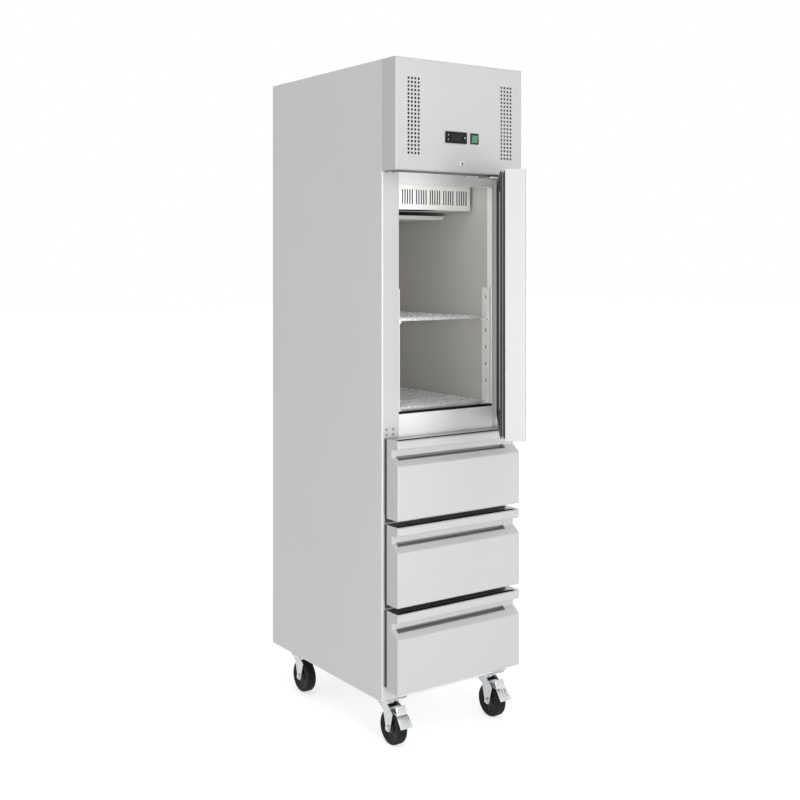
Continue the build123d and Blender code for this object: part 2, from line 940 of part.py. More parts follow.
evaporator_fan_y = behind((cover_front + cover_back) / 2)
evaporator_fan_place = Location((0, evaporator_fan_y, above(cover_bottom + motor_gap)))
condenser_fan_y = core_back + shroud_depth - fan_hub_height
condenser_fan_place = Location((0, condenser_fan_y, condenser_middle), (-90, 0, 0))
write(fan_rotor(evaporator_fan_radius).moved(evaporator_fan_place), "evaporator_fan_blade")
write(fan_rotor(condenser_fan_radius).moved(condenser_fan_place), "condenser_fan_blade")

# The evaporator motor hangs from the ceiling and the condenser motor stands on the deck
evaporator_motor_top = cover_bottom + 2 * motor_gap + fan_hub_height + motor_height
condenser_motor_y = condenser_fan_y + fan_hub_height + motor_gap + motor_height / 2
evaporator_motor = fan_motor().moved(evaporator_fan_place) + slab(
    (-strut_width / 2, evaporator_fan_y - strut_width / 2, above(evaporator_motor_top - 1)),
    (strut_width / 2, evaporator_fan_y + strut_width / 2, above(cavity_ceiling)),
)
condenser_motor = fan_motor().moved(condenser_fan_place) + slab(
    (-strut_width / 2, condenser_motor_y - strut_width / 2, condenser_bottom),
    (
        strut_width / 2,
        condenser_motor_y + strut_width / 2,
        condenser_middle - motor_radius + strut_overlap,
    ),
)
fan_motors = Part(children=[evaporator_motor.solid(), condenser_motor.solid()])
write(fan_motors, "fan_motors")

# Evaporator cover under the ceiling: louvres in front, a round fan opening underneath
with BuildPart() as evaporator_cover:
    block(
        (-cover_half_width, behind(cover_front), above(cover_bottom)),
        (cover_half_width, behind(cover_back), above(cavity_ceiling)),
    )
    block(
        (sheet - cover_half_width, behind(cover_front + sheet), above(cover_bottom + sheet)),
        (cover_half_width - sheet, behind(cover_back), above(cavity_ceiling)),
        mode=Mode.SUBTRACT,
    )
    with BuildSketch(Plane.XZ.offset(-behind(cover_front))):
        with Locations((0, above((cover_bottom + cavity_ceiling) / 2))):
            with GridLocations(louvre_group_pitch, louvre_height, louvre_groups, 1):
                with GridLocations(louvre_pitch, louvre_height, louvre_per_group, 1):
                    SlotOverall(louvre_height, louvre_width, rotation=90)
    extrude(amount=-2 * sheet, mode=Mode.SUBTRACT)
    with BuildSketch(Plane.XY.offset(above(cover_bottom))):
        with Locations((0, evaporator_fan_y)):
            Circle(evaporator_fan_radius + fan_tip_clearance)
    extrude(amount=2 * sheet, mode=Mode.SUBTRACT)
write(evaporator_cover.part, "evaporator_cover")

# Evaporator coil hung on two straps, and the drip tray below it with side flanges
with BuildPart() as evaporator_coil:
    add(
        finned_block(
            (-coil_half_width, behind(coil_front), above(coil_bottom)),
            (coil_half_width, behind(coil_back), above(coil_bottom + coil_height)),
        )
    )
    for strap_y in (coil_front, coil_back - coil_strap):
        block(
            (-coil_half_width, behind(strap_y), above(coil_bottom + coil_height)),
            (coil_half_width, behind(strap_y + coil_strap), above(cavity_ceiling)),
        )
write(evaporator_coil.part, "evaporator_coil")

drip_tray_back = coil_back + coil_strap
with BuildPart() as drip_tray:
    block(
        (-drip_tray_half_width, behind(drip_tray_front), above(drip_tray_top - drip_tray_height)),
        (drip_tray_half_width, behind(drip_tray_back), above(drip_tray_top)),
    )
    offset(amount=-drip_tray_wall, openings=drip_tray.faces().sort_by(Axis.Z)[-1])
    for side in (-1, 1):
        x_low, x_high = sorted((side * drip_tray_half_width, side * cavity_half))
        block(
            (x_low, behind(drip_tray_front), above(drip_tray_top - drip_tray_wall)),
            (x_high, behind(drip_tray_back), above(drip_tray_top)),
        )
write(drip_tray.part, "drip_tray")

# Slotted pilasters on the side walls, and the clips hooked into them
pilaster_face = cavity_half - pilaster_proud
pilaster_starts = (pilaster_front, cavity_depth - pilaster_front - pilaster_width)
slot_levels = [
    pilaster_bottom + pilaster_slot_first + pilaster_slot_pitch * number
    for number in range(pilaster_slot_count)
]
shelf_levels = [slot_levels[number] - clip_drop for number in shelf_slots]
shelf_support_pieces = []
for side in (-1, 1):
    for start in pilaster_starts:
        middle = behind(start + pilaster_width / 2)
        inner_wall = side * cavity_half
        inner_face = side * pilaster_face
        with BuildPart() as pilaster:
            x_low, x_high = sorted((inner_wall, inner_face))
            block(
                (x_low, behind(start), above(pilaster_bottom)),
                (x_high, behind(start + pilaster_width), above(pilaster_top)),
            )
            x_low, x_high = sorted((inner_wall, inner_face + side * pilaster_sheet))
            block(
                (x_low, behind(start + pilaster_sheet), above(pilaster_bottom)),
                (x_high, behind(start + pilaster_width - pilaster_sheet), above(pilaster_top)),
                mode=Mode.SUBTRACT,
            )
            with BuildSketch(Plane.YZ.offset(inner_face)):
                with Locations(*[(middle, above(level)) for level in slot_levels]):
                    Rectangle(pilaster_slot_width, pilaster_slot_height)
            extrude(amount=side * 2 * pilaster_sheet, mode=Mode.SUBTRACT)
        shelf_support_pieces.append(pilaster.part.solid())
        for level in shelf_levels:
            hook = level + clip_drop
            with BuildPart() as clip:
                x_low, x_high = sorted((inner_face, inner_face - side * clip_plate))
                block(
                    (x_low, middle - clip_length / 2, above(level - clip_height)),
                    (x_high, middle + clip_length / 2, above(hook + pilaster_slot_height / 2)),
                )
                x_low, x_high = sorted((inner_face, inner_face - side * clip_reach))
                block(
                    (x_low, middle - clip_length / 2, above(level - clip_height)),
                    (x_high, middle + clip_length / 2, above(level)),
                )
                x_low, x_high = sorted((inner_face, inner_face + side * clip_tongue_reach))
                tongue_half_y = pilaster_slot_width / 2 - clip_play
                tongue_half_z = pilaster_slot_height / 2 - clip_play
                block(
                    (x_low, middle - tongue_half_y, above(hook) - tongue_half_z),
                    (x_high, middle + tongue_half_y, above(hook) + tongue_half_z),
                )
            shelf_support_pieces.append(clip.part.solid())
write(Part(children=shelf_support_pieces), "shelf_supports")

# Wire shelves: a flat-bar rim with cross bars, and wires running front to back
shelf_half = pilaster_face - shelf_side_gap
shelf_start = behind(shelf_front)
shelf_end = behind(cavity_depth - shelf_back_gap)
wire_count = int((2 * shelf_half - shelf_bar) / shelf_wire_pitch)
for shelf_name, level in zip(("wire_shelf_lower", "wire_shelf_upper"), shelf_levels):
    with BuildPart() as shelf:
        with BuildSketch(Plane.XY.offset(above(level))):
            with Locations((0, (shelf_start + shelf_end) / 2)):
                Rectangle(2 * shelf_half, shelf_end - shelf_start)
                Rectangle(
                    2 * (shelf_half - shelf_bar),
                    shelf_end - shelf_start - 2 * shelf_bar,
                    mode=Mode.SUBTRACT,
                )
                with GridLocations(
                    shelf_wire_pitch, (shelf_end - shelf_start) / (shelf_cross_bars + 1),
                    1, shelf_cross_bars,
                ):
                    Rectangle(2 * shelf_half, shelf_bar)
        extrude(amount=shelf_bar)
        with Locations((0, (shelf_start + shelf_end) / 2, above(level) + shelf_bar)):
            with GridLocations(shelf_wire_pitch, shelf_wire_pitch, wire_count, 1):
                Cylinder(shelf_wire, shelf_end - shelf_start, rotation=(90, 0, 0))
    write(shelf.part, shelf_name)

# Door, drawn shut: a formed skin with a rounded upright at each side
door_back = face_y + front_thickness
door_top = door_bottom + door_height
hinge_axis = Axis((hinge_x, hinge_y, 0), (0, 0, 1))
cam_sweep = cam_length + cam_half_width + cam_clearance
cam_slot_depth = lock_z - cam_sweep
with BuildPart() as door_skin:
    block(
        (-drawer_half, face_y, above(door_bottom)),
        (drawer_half, door_back, above(door_top)),
    )
    fillet(door_skin.edges().filter_by(Axis.Z).group_by(Axis.Y)[0], radius=front_corner)
    offset(amount=-sheet, openings=door_skin.faces().sort_by(Axis.Y)[-1])
    bore(pin_radius + pin_play, (hinge_x, hinge_y, above(door_bottom)), 2 * sheet)
    bore(pin_radius + pin_play, (hinge_x, hinge_y, above(door_top)), -2 * sheet)
    block(
        (lock_x - cam_half_width - cam_clearance, cam_front - cam_clearance, above(door_top - sheet)),
        (lock_x + cam_sweep, cam_front + cam_thickness + cam_clearance, above(door_top)),
        mode=Mode.SUBTRACT,
    )
write(door_skin.part.rotate(hinge_axis, door_open_angle), "door_skin")

with BuildPart() as door_foam:
    block(
        (sheet - drawer_half, face_y + sheet, above(door_bottom + sheet)),
        (drawer_half - sheet, door_back - sheet, above(door_top - sheet)),
    )
    fillet(door_foam.edges().filter_by(Axis.Z).group_by(Axis.Y)[0], radius=front_corner)
    bore(shoulder_radius, (hinge_x, hinge_y, above(door_bottom + sheet)), pin_grip)
    bore(shoulder_radius, (hinge_x, hinge_y, above(door_top - sheet)), -pin_grip)
    block(
        (lock_x - cam_half_width - cam_clearance, cam_front - cam_clearance, above(cam_slot_depth)),
        (
            lock_x + cam_sweep,
            cam_front + cam_thickness + cam_clearance,
            above(door_top - sheet),
        ),
        mode=Mode.SUBTRACT,
    )
write(door_foam.part.rotate(hinge_axis, door_open_angle), "door_foam")

with BuildPart() as door_inner_panel:
    block(
        (sheet - drawer_half, door_back - sheet, above(door_bottom + sheet)),
        (drawer_half - sheet, door_back, above(door_top - sheet)),
    )
    block(
        (tray_margin - drawer_half, door_back, above(door_bottom + tray_margin)),
        (drawer_half - tray_margin, door_back + tray_rise, above(door_top - tray_margin)),
    )
    fillet(door_inner_panel.edges().filter_by(Axis.Y).group_by(Axis.Y)[-1], radius=tray_rise)
    block(
        (
            tray_margin + sheet - drawer_half,
            door_back - sheet,
            above(door_bottom + tray_margin + tray_rise),
        ),
        (
            drawer_half - tray_margin - sheet,
            door_back + tray_rise - sheet,
            above(door_top - tray_margin - tray_rise),
        ),
        mode=Mode.SUBTRACT,
    )
write(door_inner_panel.part.rotate(hinge_axis, door_open_angle), "door_inner_panel")


# Seals: a foot, a narrower neck and a head, all the way round
def seal(bottom, height):
    """Ring behind a door or drawer front, a little short of the front frame."""
    head_start = seal_gap - seal_clearance - seal_head
    layers = (
        (seal_width, 0, seal_foot),
        (seal_neck, seal_foot, head_start),
        (seal_width, head_start, seal_gap - seal_clearance),
    )
    outer_x = 2 * (drawer_half - seal_inset)
    outer_z = height - 2 * seal_inset
    with BuildPart() as ring:
        for width, start, end in layers:
            step = seal_width - width
            with BuildSketch(Plane.XZ.offset(-door_back - start)):
                with Locations((0, above(bottom + height / 2))):
                    Rectangle(outer_x - step, outer_z - step)
                    Rectangle(outer_x - step - 2 * width, outer_z - step - 2 * width,
                              mode=Mode.SUBTRACT)
            extrude(amount=start - end)
    return ring.part


write(seal(door_bottom, door_height).rotate(hinge_axis, door_open_angle), "door_gasket")


# Hinge brackets: a leaf screwed to the stile, an arm reaching forward, a shoulder and a pin
# The lower leaf has no hole at the root of its arm
lower_screws = [
    (screw_x + across * screw_spacing_x / 2, lower_screw_z + up * screw_spacing_z / 2)
    for across, up in ((-1, -1), (1, -1), (-1, 1))
]
upper_screws = [
    (screw_x + across * screw_spacing_x / 2, upper_screw_z + up * screw_spacing_z / 2)
    for across, up in ((-1, -1), (1, -1), (-1, 1), (1, 1))
]


def bracket(arm_bottom, arm_left, leaf_bottom, leaf_top, screws, pin_up):
    """Bracket whose pin points up into the door's foot, or down into its head."""
    with BuildPart() as piece:
        block(
            (drawer_half - leaf_width, front_y - leaf_thickness, above(leaf_bottom)),
            (drawer_half, front_y, above(leaf_top)),
        )
        block(
            (arm_left, hinge_y - shoulder_radius, above(arm_bottom)),
            (drawer_half, front_y, above(arm_bottom + arm_thickness)),
        )
        fillet(
            piece.edges().filter_by(Axis.Z).group_by(Axis.Y)[0],
            radius=shoulder_radius,
        )
        start = above(arm_bottom + (arm_thickness if pin_up else 0))
        step = 1 if pin_up else -1
        shoulder = upper_arm_gap - seal_clearance
        bore(shoulder_radius, (hinge_x, hinge_y, start), step * shoulder, mode=Mode.ADD)
        bore(pin_radius, (hinge_x, hinge_y, start), step * pin_grip, mode=Mode.ADD)
        with BuildSketch(Plane.XZ.offset(-front_y)):
            with Locations(*[(x, above(z)) for x, z in screws]):
                Circle(screw_radius + screw_play)
        extrude(amount=2 * leaf_thickness, mode=Mode.SUBTRACT)
    return piece.part.solid()


hinge_brackets = Part(
    children=[
        bracket(
            door_bottom - upper_arm_gap - arm_thickness,
            drawer_half - leaf_width / 2,
            lower_leaf_bottom,
            lower_leaf_bottom + leaf_height,
            lower_screws,
            True,
        ),
        bracket(
            upper_arm_bottom,
            drawer_half - upper_arm_width,
            upper_arm_bottom,
            upper_arm_bottom + upper_leaf_height,
            upper_screws,
            False,
        ),
    ]
)
write(hinge_brackets, "hinge_brackets")


# Fasteners: bracket screws, plugs in the spare hinge holes, and the castor bolts
def pin_head(head_radius, head_height, shank_radius, length):
    """Domed head below the local XY plane, shank going up from it."""
    with BuildPart() as piece:
        bore(head_radius, (0, 0, 0), -head_height, mode=Mode.ADD)
        fillet(piece.faces().sort_by(Axis.Z)[0].edges(), radius=head_height / 2)
        bore(shank_radius, (0, 0, 0), length, mode=Mode.ADD)
    return piece.part.solid()


bracket_screw = pin_head(screw_head_radius, screw_head_height, screw_radius, screw_length)
hole_plug = pin_head(screw_head_radius, plug_head_height, screw_radius, plug_length)
castor_bolt = pin_head(bolt_head_radius, bolt_head_height, bolt_radius, bolt_length)
castor_places = [
    (side * castor_x, behind(depth)) for depth in (castor_front, castor_back) for side in (-1, 1)
]
fastener_pieces = []
for x, z in lower_screws + upper_screws:
    screw_place = Location((x, front_y - leaf_thickness, above(z)), (-90, 0, 0))
    fastener_pieces.append(bracket_screw.moved(screw_place))
for height in (lower_screw_z, upper_screw_z):
    for spacing_x in (-screw_spacing_x / 2, screw_spacing_x / 2):
        for spacing_z in (-screw_spacing_z / 2, screw_spacing_z / 2):
            plug_place = Location(
                (spacing_x - screw_x, front_y, above(height + spacing_z)), (-90, 0, 0)
            )
            fastener_pieces.append(hole_plug.moved(plug_place))
for x, y in castor_places:
    for spacing_x in (-bolt_spacing_x / 2, bolt_spacing_x / 2):
        for spacing_y in (-bolt_spacing_y / 2, bolt_spacing_y / 2):
            bolt_place = Location((x + spacing_x, y + spacing_y, above(-plate_thickness)))
            fastener_pieces.append(castor_bolt.moved(bolt_place))
write(Part(children=fastener_pieces), "fasteners")


# Slides: three nested channels on each side of a drawer, all opening away from their web
def slide_channel(web_x, web_side, reach, half_height, start):
    """Channel whose web starts at web_x and thickens towards web_side."""
    with BuildPart() as piece:
        x_low, x_high = sorted((web_x, web_x - web_side * reach))
        low_y = behind(start)
        block(
            (x_low, low_y, -half_height),
            (x_high, low_y + slide_length, half_height),
        )
        x_low, x_high = sorted((web_x - web_side * slide_sheet, web_x - web_side * reach))
        block(
            (x_low, low_y, slide_sheet - half_height),
            (x_high, low_y + slide_length, half_height - slide_sheet),
            mode=Mode.SUBTRACT,
        )
    return piece.part.solid()


frame_half = cavity_half - slide_width
step_in = slide_sheet + slide_clearance
middle_reach = slide_width - 2 * step_in - slide_clearance
frame_length = pan_length + 4 * frame_sheet
outer_channels = []
middle_channels = []
inner_channels = []
for side in (-1, 1):
    outer_channels.append(
        slide_channel(
            side * cavity_half, side, slide_width / 2, slide_height / 2, slide_setback + rail_return
        )
    )
    middle_channels.append(
        slide_channel(
            side * (cavity_half - step_in),
            side,
            middle_reach,
            slide_height / 2 - step_in,
            slide_setback + rail_return,
        )
    )
    inner_channels.append(
        slide_channel(
            side * frame_half,
            -side,
            middle_reach,
            slide_height / 2 - 2 * step_in,
            slide_setback,
        )
    )


# Drawer fronts: a formed skin with a full-width grip, closed by an inner plate
drawer_profile = [
    (door_back, 0),
    (face_y, 0),
    (face_y, drawer_height - grip_slope_bottom),
    (face_y + grip_depth, drawer_height - grip_wall_bottom),
    (face_y + grip_depth, drawer_height - lip_height),
    (face_y, drawer_height - lip_height),
    (face_y, drawer_height),
    (door_back, drawer_height),
]
drawer_radii = [0, 3, grip_slope_radius, 3, 3, lip_underside_radius, drawer_edge, 0]


def front_prism(shrink):
    """Drawer front drawn in by a distance on every side but the back."""
    with BuildPart() as prism:
        with BuildSketch(Plane.YZ.offset(shrink - drawer_half)):
            add(outline(drawer_profile, drawer_radii))
            if shrink:
                offset(amount=-shrink)
        extrude(amount=2 * (drawer_half - shrink))
        if shrink:
            block(
                (shrink - drawer_half, door_back - shrink - 1, shrink),
                (drawer_half - shrink, door_back, drawer_height - shrink),
            )
        with BuildSketch():
            with Locations((0, (face_y + door_back + front_corner) / 2)):
                RectangleRounded(
                    2 * (drawer_half - shrink),
                    front_thickness + front_corner - 2 * shrink,
                    front_corner - shrink,
                )
        extrude(amount=drawer_height, mode=Mode.INTERSECT)
    return prism.part


def finger_slot(grow):
    """Pocket at the root of the grip, for the finger tips."""
    middle = drawer_height - (grip_wall_bottom + slot_height / 4)
    return slab(
        (
            slot_left_inset - drawer_half - grow,
            face_y + grip_depth / 2,
            middle - slot_height / 2 - grow,
        ),
        (
            drawer_half - slot_right_inset + grow,
            face_y + grip_depth + slot_depth + grow,
            middle + slot_height / 2 + grow,
        ),
    )


drawer_skin = front_prism(0) - (front_prism(sheet) - finger_slot(sheet)) - finger_slot(0)
drawer_inner_plate = slab(
    (sheet - drawer_half, door_back - sheet, sheet),
    (drawer_half - sheet, door_back, drawer_height - sheet),
)


# Drawer frame: folded side rails and bars that carry a pan by its rim
def frame_bar(low, high, lip_low, lip_high):
    """Upright plate with a flange along its top edge."""
    with BuildPart() as bar:
        block(low, high)
        block(lip_low, lip_high)
    return bar.part.solid()


frame_top = drawer_overlap + drawer_opening - frame_top_gap
frame_back = door_back + frame_length
frame_pieces = []
for side in (-1, 1):
    x_low, x_high = sorted((side * frame_half, side * (frame_half - frame_sheet)))
    lip_low, lip_high = sorted((side * frame_half, side * (frame_half - pan_flange)))
    frame_pieces.append(
        frame_bar(
            (x_low, door_back, frame_top - frame_web),
            (x_high, frame_back, frame_top),
            (lip_low, door_back, frame_top - frame_sheet),
            (lip_high, frame_back, frame_top),
        )
    )
for wall_y, step in ((door_back, 1), (frame_back, -1)):
    low_y, high_y = sorted((wall_y, wall_y + step * frame_sheet))
    lip_low, lip_high = sorted((wall_y, wall_y + step * pan_flange))
    bar_half = frame_half - frame_sheet
    lip_half = frame_half - pan_flange
    frame_pieces.append(
        frame_bar(
            (-bar_half, low_y, frame_top - rear_bar_height),
            (bar_half, high_y, frame_top - frame_sheet),
            (-lip_half, lip_low, frame_top - 2 * frame_sheet),
            (lip_half, lip_high, frame_top - frame_sheet),
        )
    )

slide_z = frame_top - slide_drop
slide_outer_pieces = []
for number in range(drawer_count):
    bottom = drawer_bottom + drawer_pitch * number
    rise = Location((0, 0, above(bottom)))
    slide_rise = Location((0, 0, above(bottom + slide_z)))
    front = Part(
        children=[drawer_skin.solid().moved(rise), drawer_inner_plate.moved(rise)]
    )
    write(front, f"drawer_front_{number + 1}")
    write(seal(bottom, drawer_height), f"drawer_gasket_{number + 1}")
    frame = Part(
        children=[
            *[piece.moved(rise) for piece in frame_pieces],
            *[piece.moved(slide_rise) for piece in inner_channels],
        ]
    )
    write(frame, f"drawer_frame_{number + 1}")
    middle = Part(children=[piece.moved(slide_rise) for piece in middle_channels])
    write(middle, f"slide_middle_{number + 1}")
    slide_outer_pieces.extend(piece.moved(slide_rise) for piece in outer_channels)
write(Part(children=slide_outer_pieces), "slide_outers")

# Castors: mounting plate with its race and kingpin, all four in one node
race_bottom = castor_height - plate_thickness - race_height
crown_top = race_bottom - castor_gap
crown_bottom = crown_top - crown_height
kingpin_bottom = crown_bottom - castor_gap - kingpin_head_height
with BuildPart() as castor_plate:
    with Locations((0, 0, castor_height - plate_thickness / 2)):
        Box(plate_x, plate_y, plate_thickness)
    fillet(castor_plate.edges().filter_by(Axis.Z), radius=plate_corner)
    with BuildSketch(Plane.XY.offset(castor_height)):
        with GridLocations(bolt_spacing_x, bolt_spacing_y, 2, 2):
            Circle(bolt_radius + bolt_play)
    extrude(amount=-2 * plate_thickness, mode=Mode.SUBTRACT)
    bore(race_radius, (0, 0, race_bottom), race_height, mode=Mode.ADD)
    bore(kingpin_radius, (0, 0, kingpin_bottom), race_bottom - kingpin_bottom, mode=Mode.ADD)
    bore(kingpin_head_radius, (0, 0, kingpin_bottom), kingpin_head_height, mode=Mode.ADD)
write(
    Part(children=[castor_plate.part.solid().moved(Location((x, y, 0))) for x, y in castor_places]),
    "castor_plates",
)

# Fork with its axle bolt; the ears at the front carry a brake pedal on the front castors
leg_inner = wheel_width / 2 + leg_thickness - castor_gap / 2
leg_outer = leg_inner + leg_thickness
with BuildPart() as fork:
    bore(crown_radius, (0, 0, crown_bottom), crown_height, mode=Mode.ADD)
    for side in (-1, 1):
        with BuildSketch(Plane.YZ.offset(side * leg_inner)):
            with Locations((-castor_trail, wheel_radius)):
                Circle(leg_end_radius)
            with Locations((pedal_pivot_y, pedal_pivot_z)):
                Circle(pedal_ear_radius)
            with Locations((0, (crown_bottom + crown_top) / 2)):
                Rectangle(leg_top_width, crown_height)
            make_hull()
        extrude(amount=side * leg_thickness)
    bore(kingpin_radius + kingpin_play, (0, 0, crown_bottom), crown_height)
    with Locations((0, pedal_pivot_y, pedal_pivot_z)):
        Cylinder(
            pedal_pin_radius + pin_play, 2 * pedal_pin_reach, rotation=(0, 90, 0),
            mode=Mode.SUBTRACT,
        )
    with Locations((0, -castor_trail, wheel_radius)):
        Cylinder(axle_radius, 2 * leg_outer, rotation=(0, 90, 0))
        for side in (-1, 1):
            with Locations((side * (leg_outer + axle_nut_height / 2), 0, 0)):
                Cylinder(axle_nut_radius, axle_nut_height, rotation=(0, 90, 0))

with BuildPart() as wheel:
    Cylinder(wheel_radius, wheel_width, rotation=(0, 90, 0))
    fillet(wheel.edges().filter_by(GeomType.CIRCLE), radius=wheel_edge)
    for side in (-1, 1):
        with BuildSketch(Plane.YZ.offset(side * wheel_width / 2)):
            Circle(rim_radius)
            Circle(hub_radius, mode=Mode.SUBTRACT)
        extrude(amount=-side * hub_groove, mode=Mode.SUBTRACT)
    Cylinder(axle_radius + axle_play, 2 * wheel_width, rotation=(0, 90, 0), mode=Mode.SUBTRACT)

# Brake pedal: an arm curled round its pin, a raised heel and a wide toe
pedal_pivot = (pedal_pivot_y, pedal_pivot_z)
pedal_bend = (pedal_bend_y, pedal_bend_z)
with BuildPart() as pedal:
    with BuildSketch(Plane.YZ.offset(-pedal_width / 2)):
        for tip in ((pedal_heel_y, pedal_heel_z), (pedal_toe_y, pedal_toe_z)):
            add(folded([pedal_pivot, pedal_bend, tip], pedal_bend_radius, pedal_plate, Side.LEFT))
        with Locations(pedal_pivot):
            Circle(pedal_curl_radius)
    extrude(amount=pedal_width)
    with BuildSketch(Plane.YZ.offset(-pedal_toe_width / 2)):
        toe = (pedal_toe_y, pedal_toe_z)
        add(folded([pedal_pivot, pedal_bend, toe], pedal_bend_radius, pedal_plate, Side.LEFT))
        with Locations((pedal_toe_start + pedal_width, pedal_toe_z)):
            Rectangle(2 * pedal_width, 2 * pedal_pivot_z, mode=Mode.SUBTRACT)
    extrude(amount=pedal_toe_width)
    with Locations((0, pedal_pivot_y, pedal_pivot_z)):
        Cylinder(pedal_pin_radius, 2 * pedal_pin_reach, rotation=(0, 90, 0))

castor_names = ("front_left", "front_right", "rear_left", "rear_right")
for castor_name, (x, y) in zip(castor_names, castor_places):
    write(fork.part.moved(Location((x, y, 0))), f"castor_fork_{castor_name}")
    wheel_place = Location((x, y - castor_trail, wheel_radius))
    write(wheel.part.moved(wheel_place), f"castor_wheel_{castor_name}")
    if castor_name.startswith("front"):
        write(pedal.part.moved(Location((x, y, 0))), f"brake_pedal_{castor_name}")

# Mains inlet in the back panel: flange, case with a recess, and three contacts
inlet_y = behind(body_depth)
with BuildPart() as mains_inlet:
    block(
        (inlet_x - inlet_width / 2, inlet_y, above(inlet_z) - inlet_height / 2),
        (inlet_x + inlet_width / 2, inlet_y + inlet_flange, above(inlet_z) + inlet_height / 2),
    )
    fillet(mains_inlet.edges().filter_by(Axis.Y), radius=inlet_flange)
    block(
        (
            inlet_x - inlet_case_width / 2,
            inlet_y - inlet_case_depth,
            above(inlet_z) - inlet_case_height / 2,
        ),
        (inlet_x + inlet_case_width / 2, inlet_y, above(inlet_z) + inlet_case_height / 2),
    )
    block(
        (
            inlet_x - inlet_case_width / 2 + inlet_wall,
            inlet_y + inlet_flange - inlet_recess,
            above(inlet_z) - inlet_case_height / 2 + inlet_wall,
        ),
        (
            inlet_x + inlet_case_width / 2 - inlet_wall,
            inlet_y + inlet_flange,
            above(inlet_z) + inlet_case_height / 2 - inlet_wall,
        ),
        mode=Mode.SUBTRACT,
    )
    for number in (-1, 0, 1):
        x = inlet_x + number * contact_spacing
        block(
            (
                x - contact_width / 2,
                inlet_y + inlet_flange - inlet_recess,
                above(inlet_z) - contact_height / 2,
            ),
            (
                x + contact_width / 2,
                inlet_y + inlet_flange - inlet_recess + contact_length,
                above(inlet_z) + contact_height / 2,
            ),
        )
write(mains_inlet.part, "mains_inlet")
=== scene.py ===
import bpy, bmesh, math
from mathutils import Matrix, Vector


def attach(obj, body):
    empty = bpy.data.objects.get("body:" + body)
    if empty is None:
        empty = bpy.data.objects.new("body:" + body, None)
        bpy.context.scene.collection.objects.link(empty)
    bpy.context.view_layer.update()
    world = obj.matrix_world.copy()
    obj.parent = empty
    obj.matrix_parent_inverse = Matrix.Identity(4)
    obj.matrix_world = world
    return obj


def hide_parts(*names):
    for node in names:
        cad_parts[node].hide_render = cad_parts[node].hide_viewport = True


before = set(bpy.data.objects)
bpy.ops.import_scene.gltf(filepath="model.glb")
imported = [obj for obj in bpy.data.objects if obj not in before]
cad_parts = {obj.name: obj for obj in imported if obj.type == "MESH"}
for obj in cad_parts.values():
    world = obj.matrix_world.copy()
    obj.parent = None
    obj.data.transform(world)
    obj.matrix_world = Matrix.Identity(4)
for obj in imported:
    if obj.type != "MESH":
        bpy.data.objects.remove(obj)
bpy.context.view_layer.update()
bpy.ops.object.select_all(action="DESELECT")
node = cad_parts

# The camera stands at breast height in front of the cabinet's left side.
# It is level, and its lens is shifted down so that uprights stay upright.
lens = bpy.data.cameras.new("camera")
lens.sensor_width = 36
lens.lens = 52.38
lens.shift_y = -0.1746
camera = bpy.data.objects.new("camera", lens)
bpy.context.scene.collection.objects.link(camera)
camera.location = (-2.124, -2.9061, 1.413)
camera.rotation_euler = (math.radians(90), 0, math.radians(-35.02))
bpy.context.scene.camera = camera
bpy.context.scene.view_settings.view_transform = "Standard"


# White photographic studio: a paper floor that keeps the object's shadow, an even
# white room, three softboxes in front and above, and two small strips in the compartment.
def wired(tree, kind, feeds=(), **settings):
    """Puts a node in a tree, sets it, and feeds its inputs with values or other nodes' outputs."""
    made = tree.nodes.new(kind)
    for name, value in settings.items():
        setattr(made, name, value)
    for socket, value in dict(feeds).items():
        if isinstance(value, bpy.types.NodeSocket):
            tree.links.new(value, made.inputs[socket])
        else:
            made.inputs[socket].default_value = value
    return made


def seen_directly(tree):
    """1 for rays from the camera and for rays that metal or glass sends on."""
    ray = wired(tree, "ShaderNodeLightPath").outputs
    first = wired(tree, "ShaderNodeMath", {0: ray["Is Camera Ray"], 1: ray["Is Glossy Ray"]},
                  operation="MAXIMUM").outputs[0]
    return wired(tree, "ShaderNodeMath", {0: first, 1: ray["Is Transmission Ray"]},
                 operation="MAXIMUM").outputs[0]


bpy.ops.mesh.primitive_plane_add(size=60, location=(0, 0, 0))
floor = bpy.context.object
floor.name = "studio_floor"
bpy.ops.object.select_all(action="DESELECT")
paper_glow, room_fill = 0.58, 0.58
paper = bpy.data.materials.new("studio paper")
paper.use_nodes = True
tree = paper.node_tree
tree.nodes.clear()
matt = wired(tree, "ShaderNodeBsdfDiffuse", {"Color": (0.8, 0.8, 0.8, 1)}).outputs[0]
gain = wired(tree, "ShaderNodeMath", {0: seen_directly(tree), 1: paper_glow},
             operation="MULTIPLY")
glow = wired(tree, "ShaderNodeEmission", {"Strength": gain.outputs[0]}).outputs[0]
both = wired(tree, "ShaderNodeAddShader", {0: matt, 1: glow}).outputs[0]
wired(tree, "ShaderNodeOutputMaterial", {"Surface": both})
floor.data.materials.append(paper)

room = bpy.data.worlds.new("studio room")
bpy.context.scene.world = room
room.use_nodes = True
tree = room.node_tree
tree.nodes.clear()
level = wired(tree, "ShaderNodeMapRange",
              {"Value": seen_directly(tree), "To Min": room_fill, "To Max": 1.0})
walls = wired(tree, "ShaderNodeBackground",
              {"Color": (1, 1, 1, 1), "Strength": level.outputs[0]})
wired(tree, "ShaderNodeOutputWorld", {"Surface": walls.outputs[0]})


def soft_lamp(name, place, aim, width, height, watts):
    """A softbox that hangs at a place and faces a point."""
    lamp = bpy.data.lights.new(name, "AREA")
    lamp.shape = "RECTANGLE"
    lamp.size, lamp.size_y, lamp.energy = width, height, watts
    box = bpy.data.objects.new(name, lamp)
    bpy.context.scene.collection.objects.link(box)
    box.location = place
    box.rotation_euler = (Vector(aim) - Vector(place)).to_track_quat("-Z", "Y").to_euler()


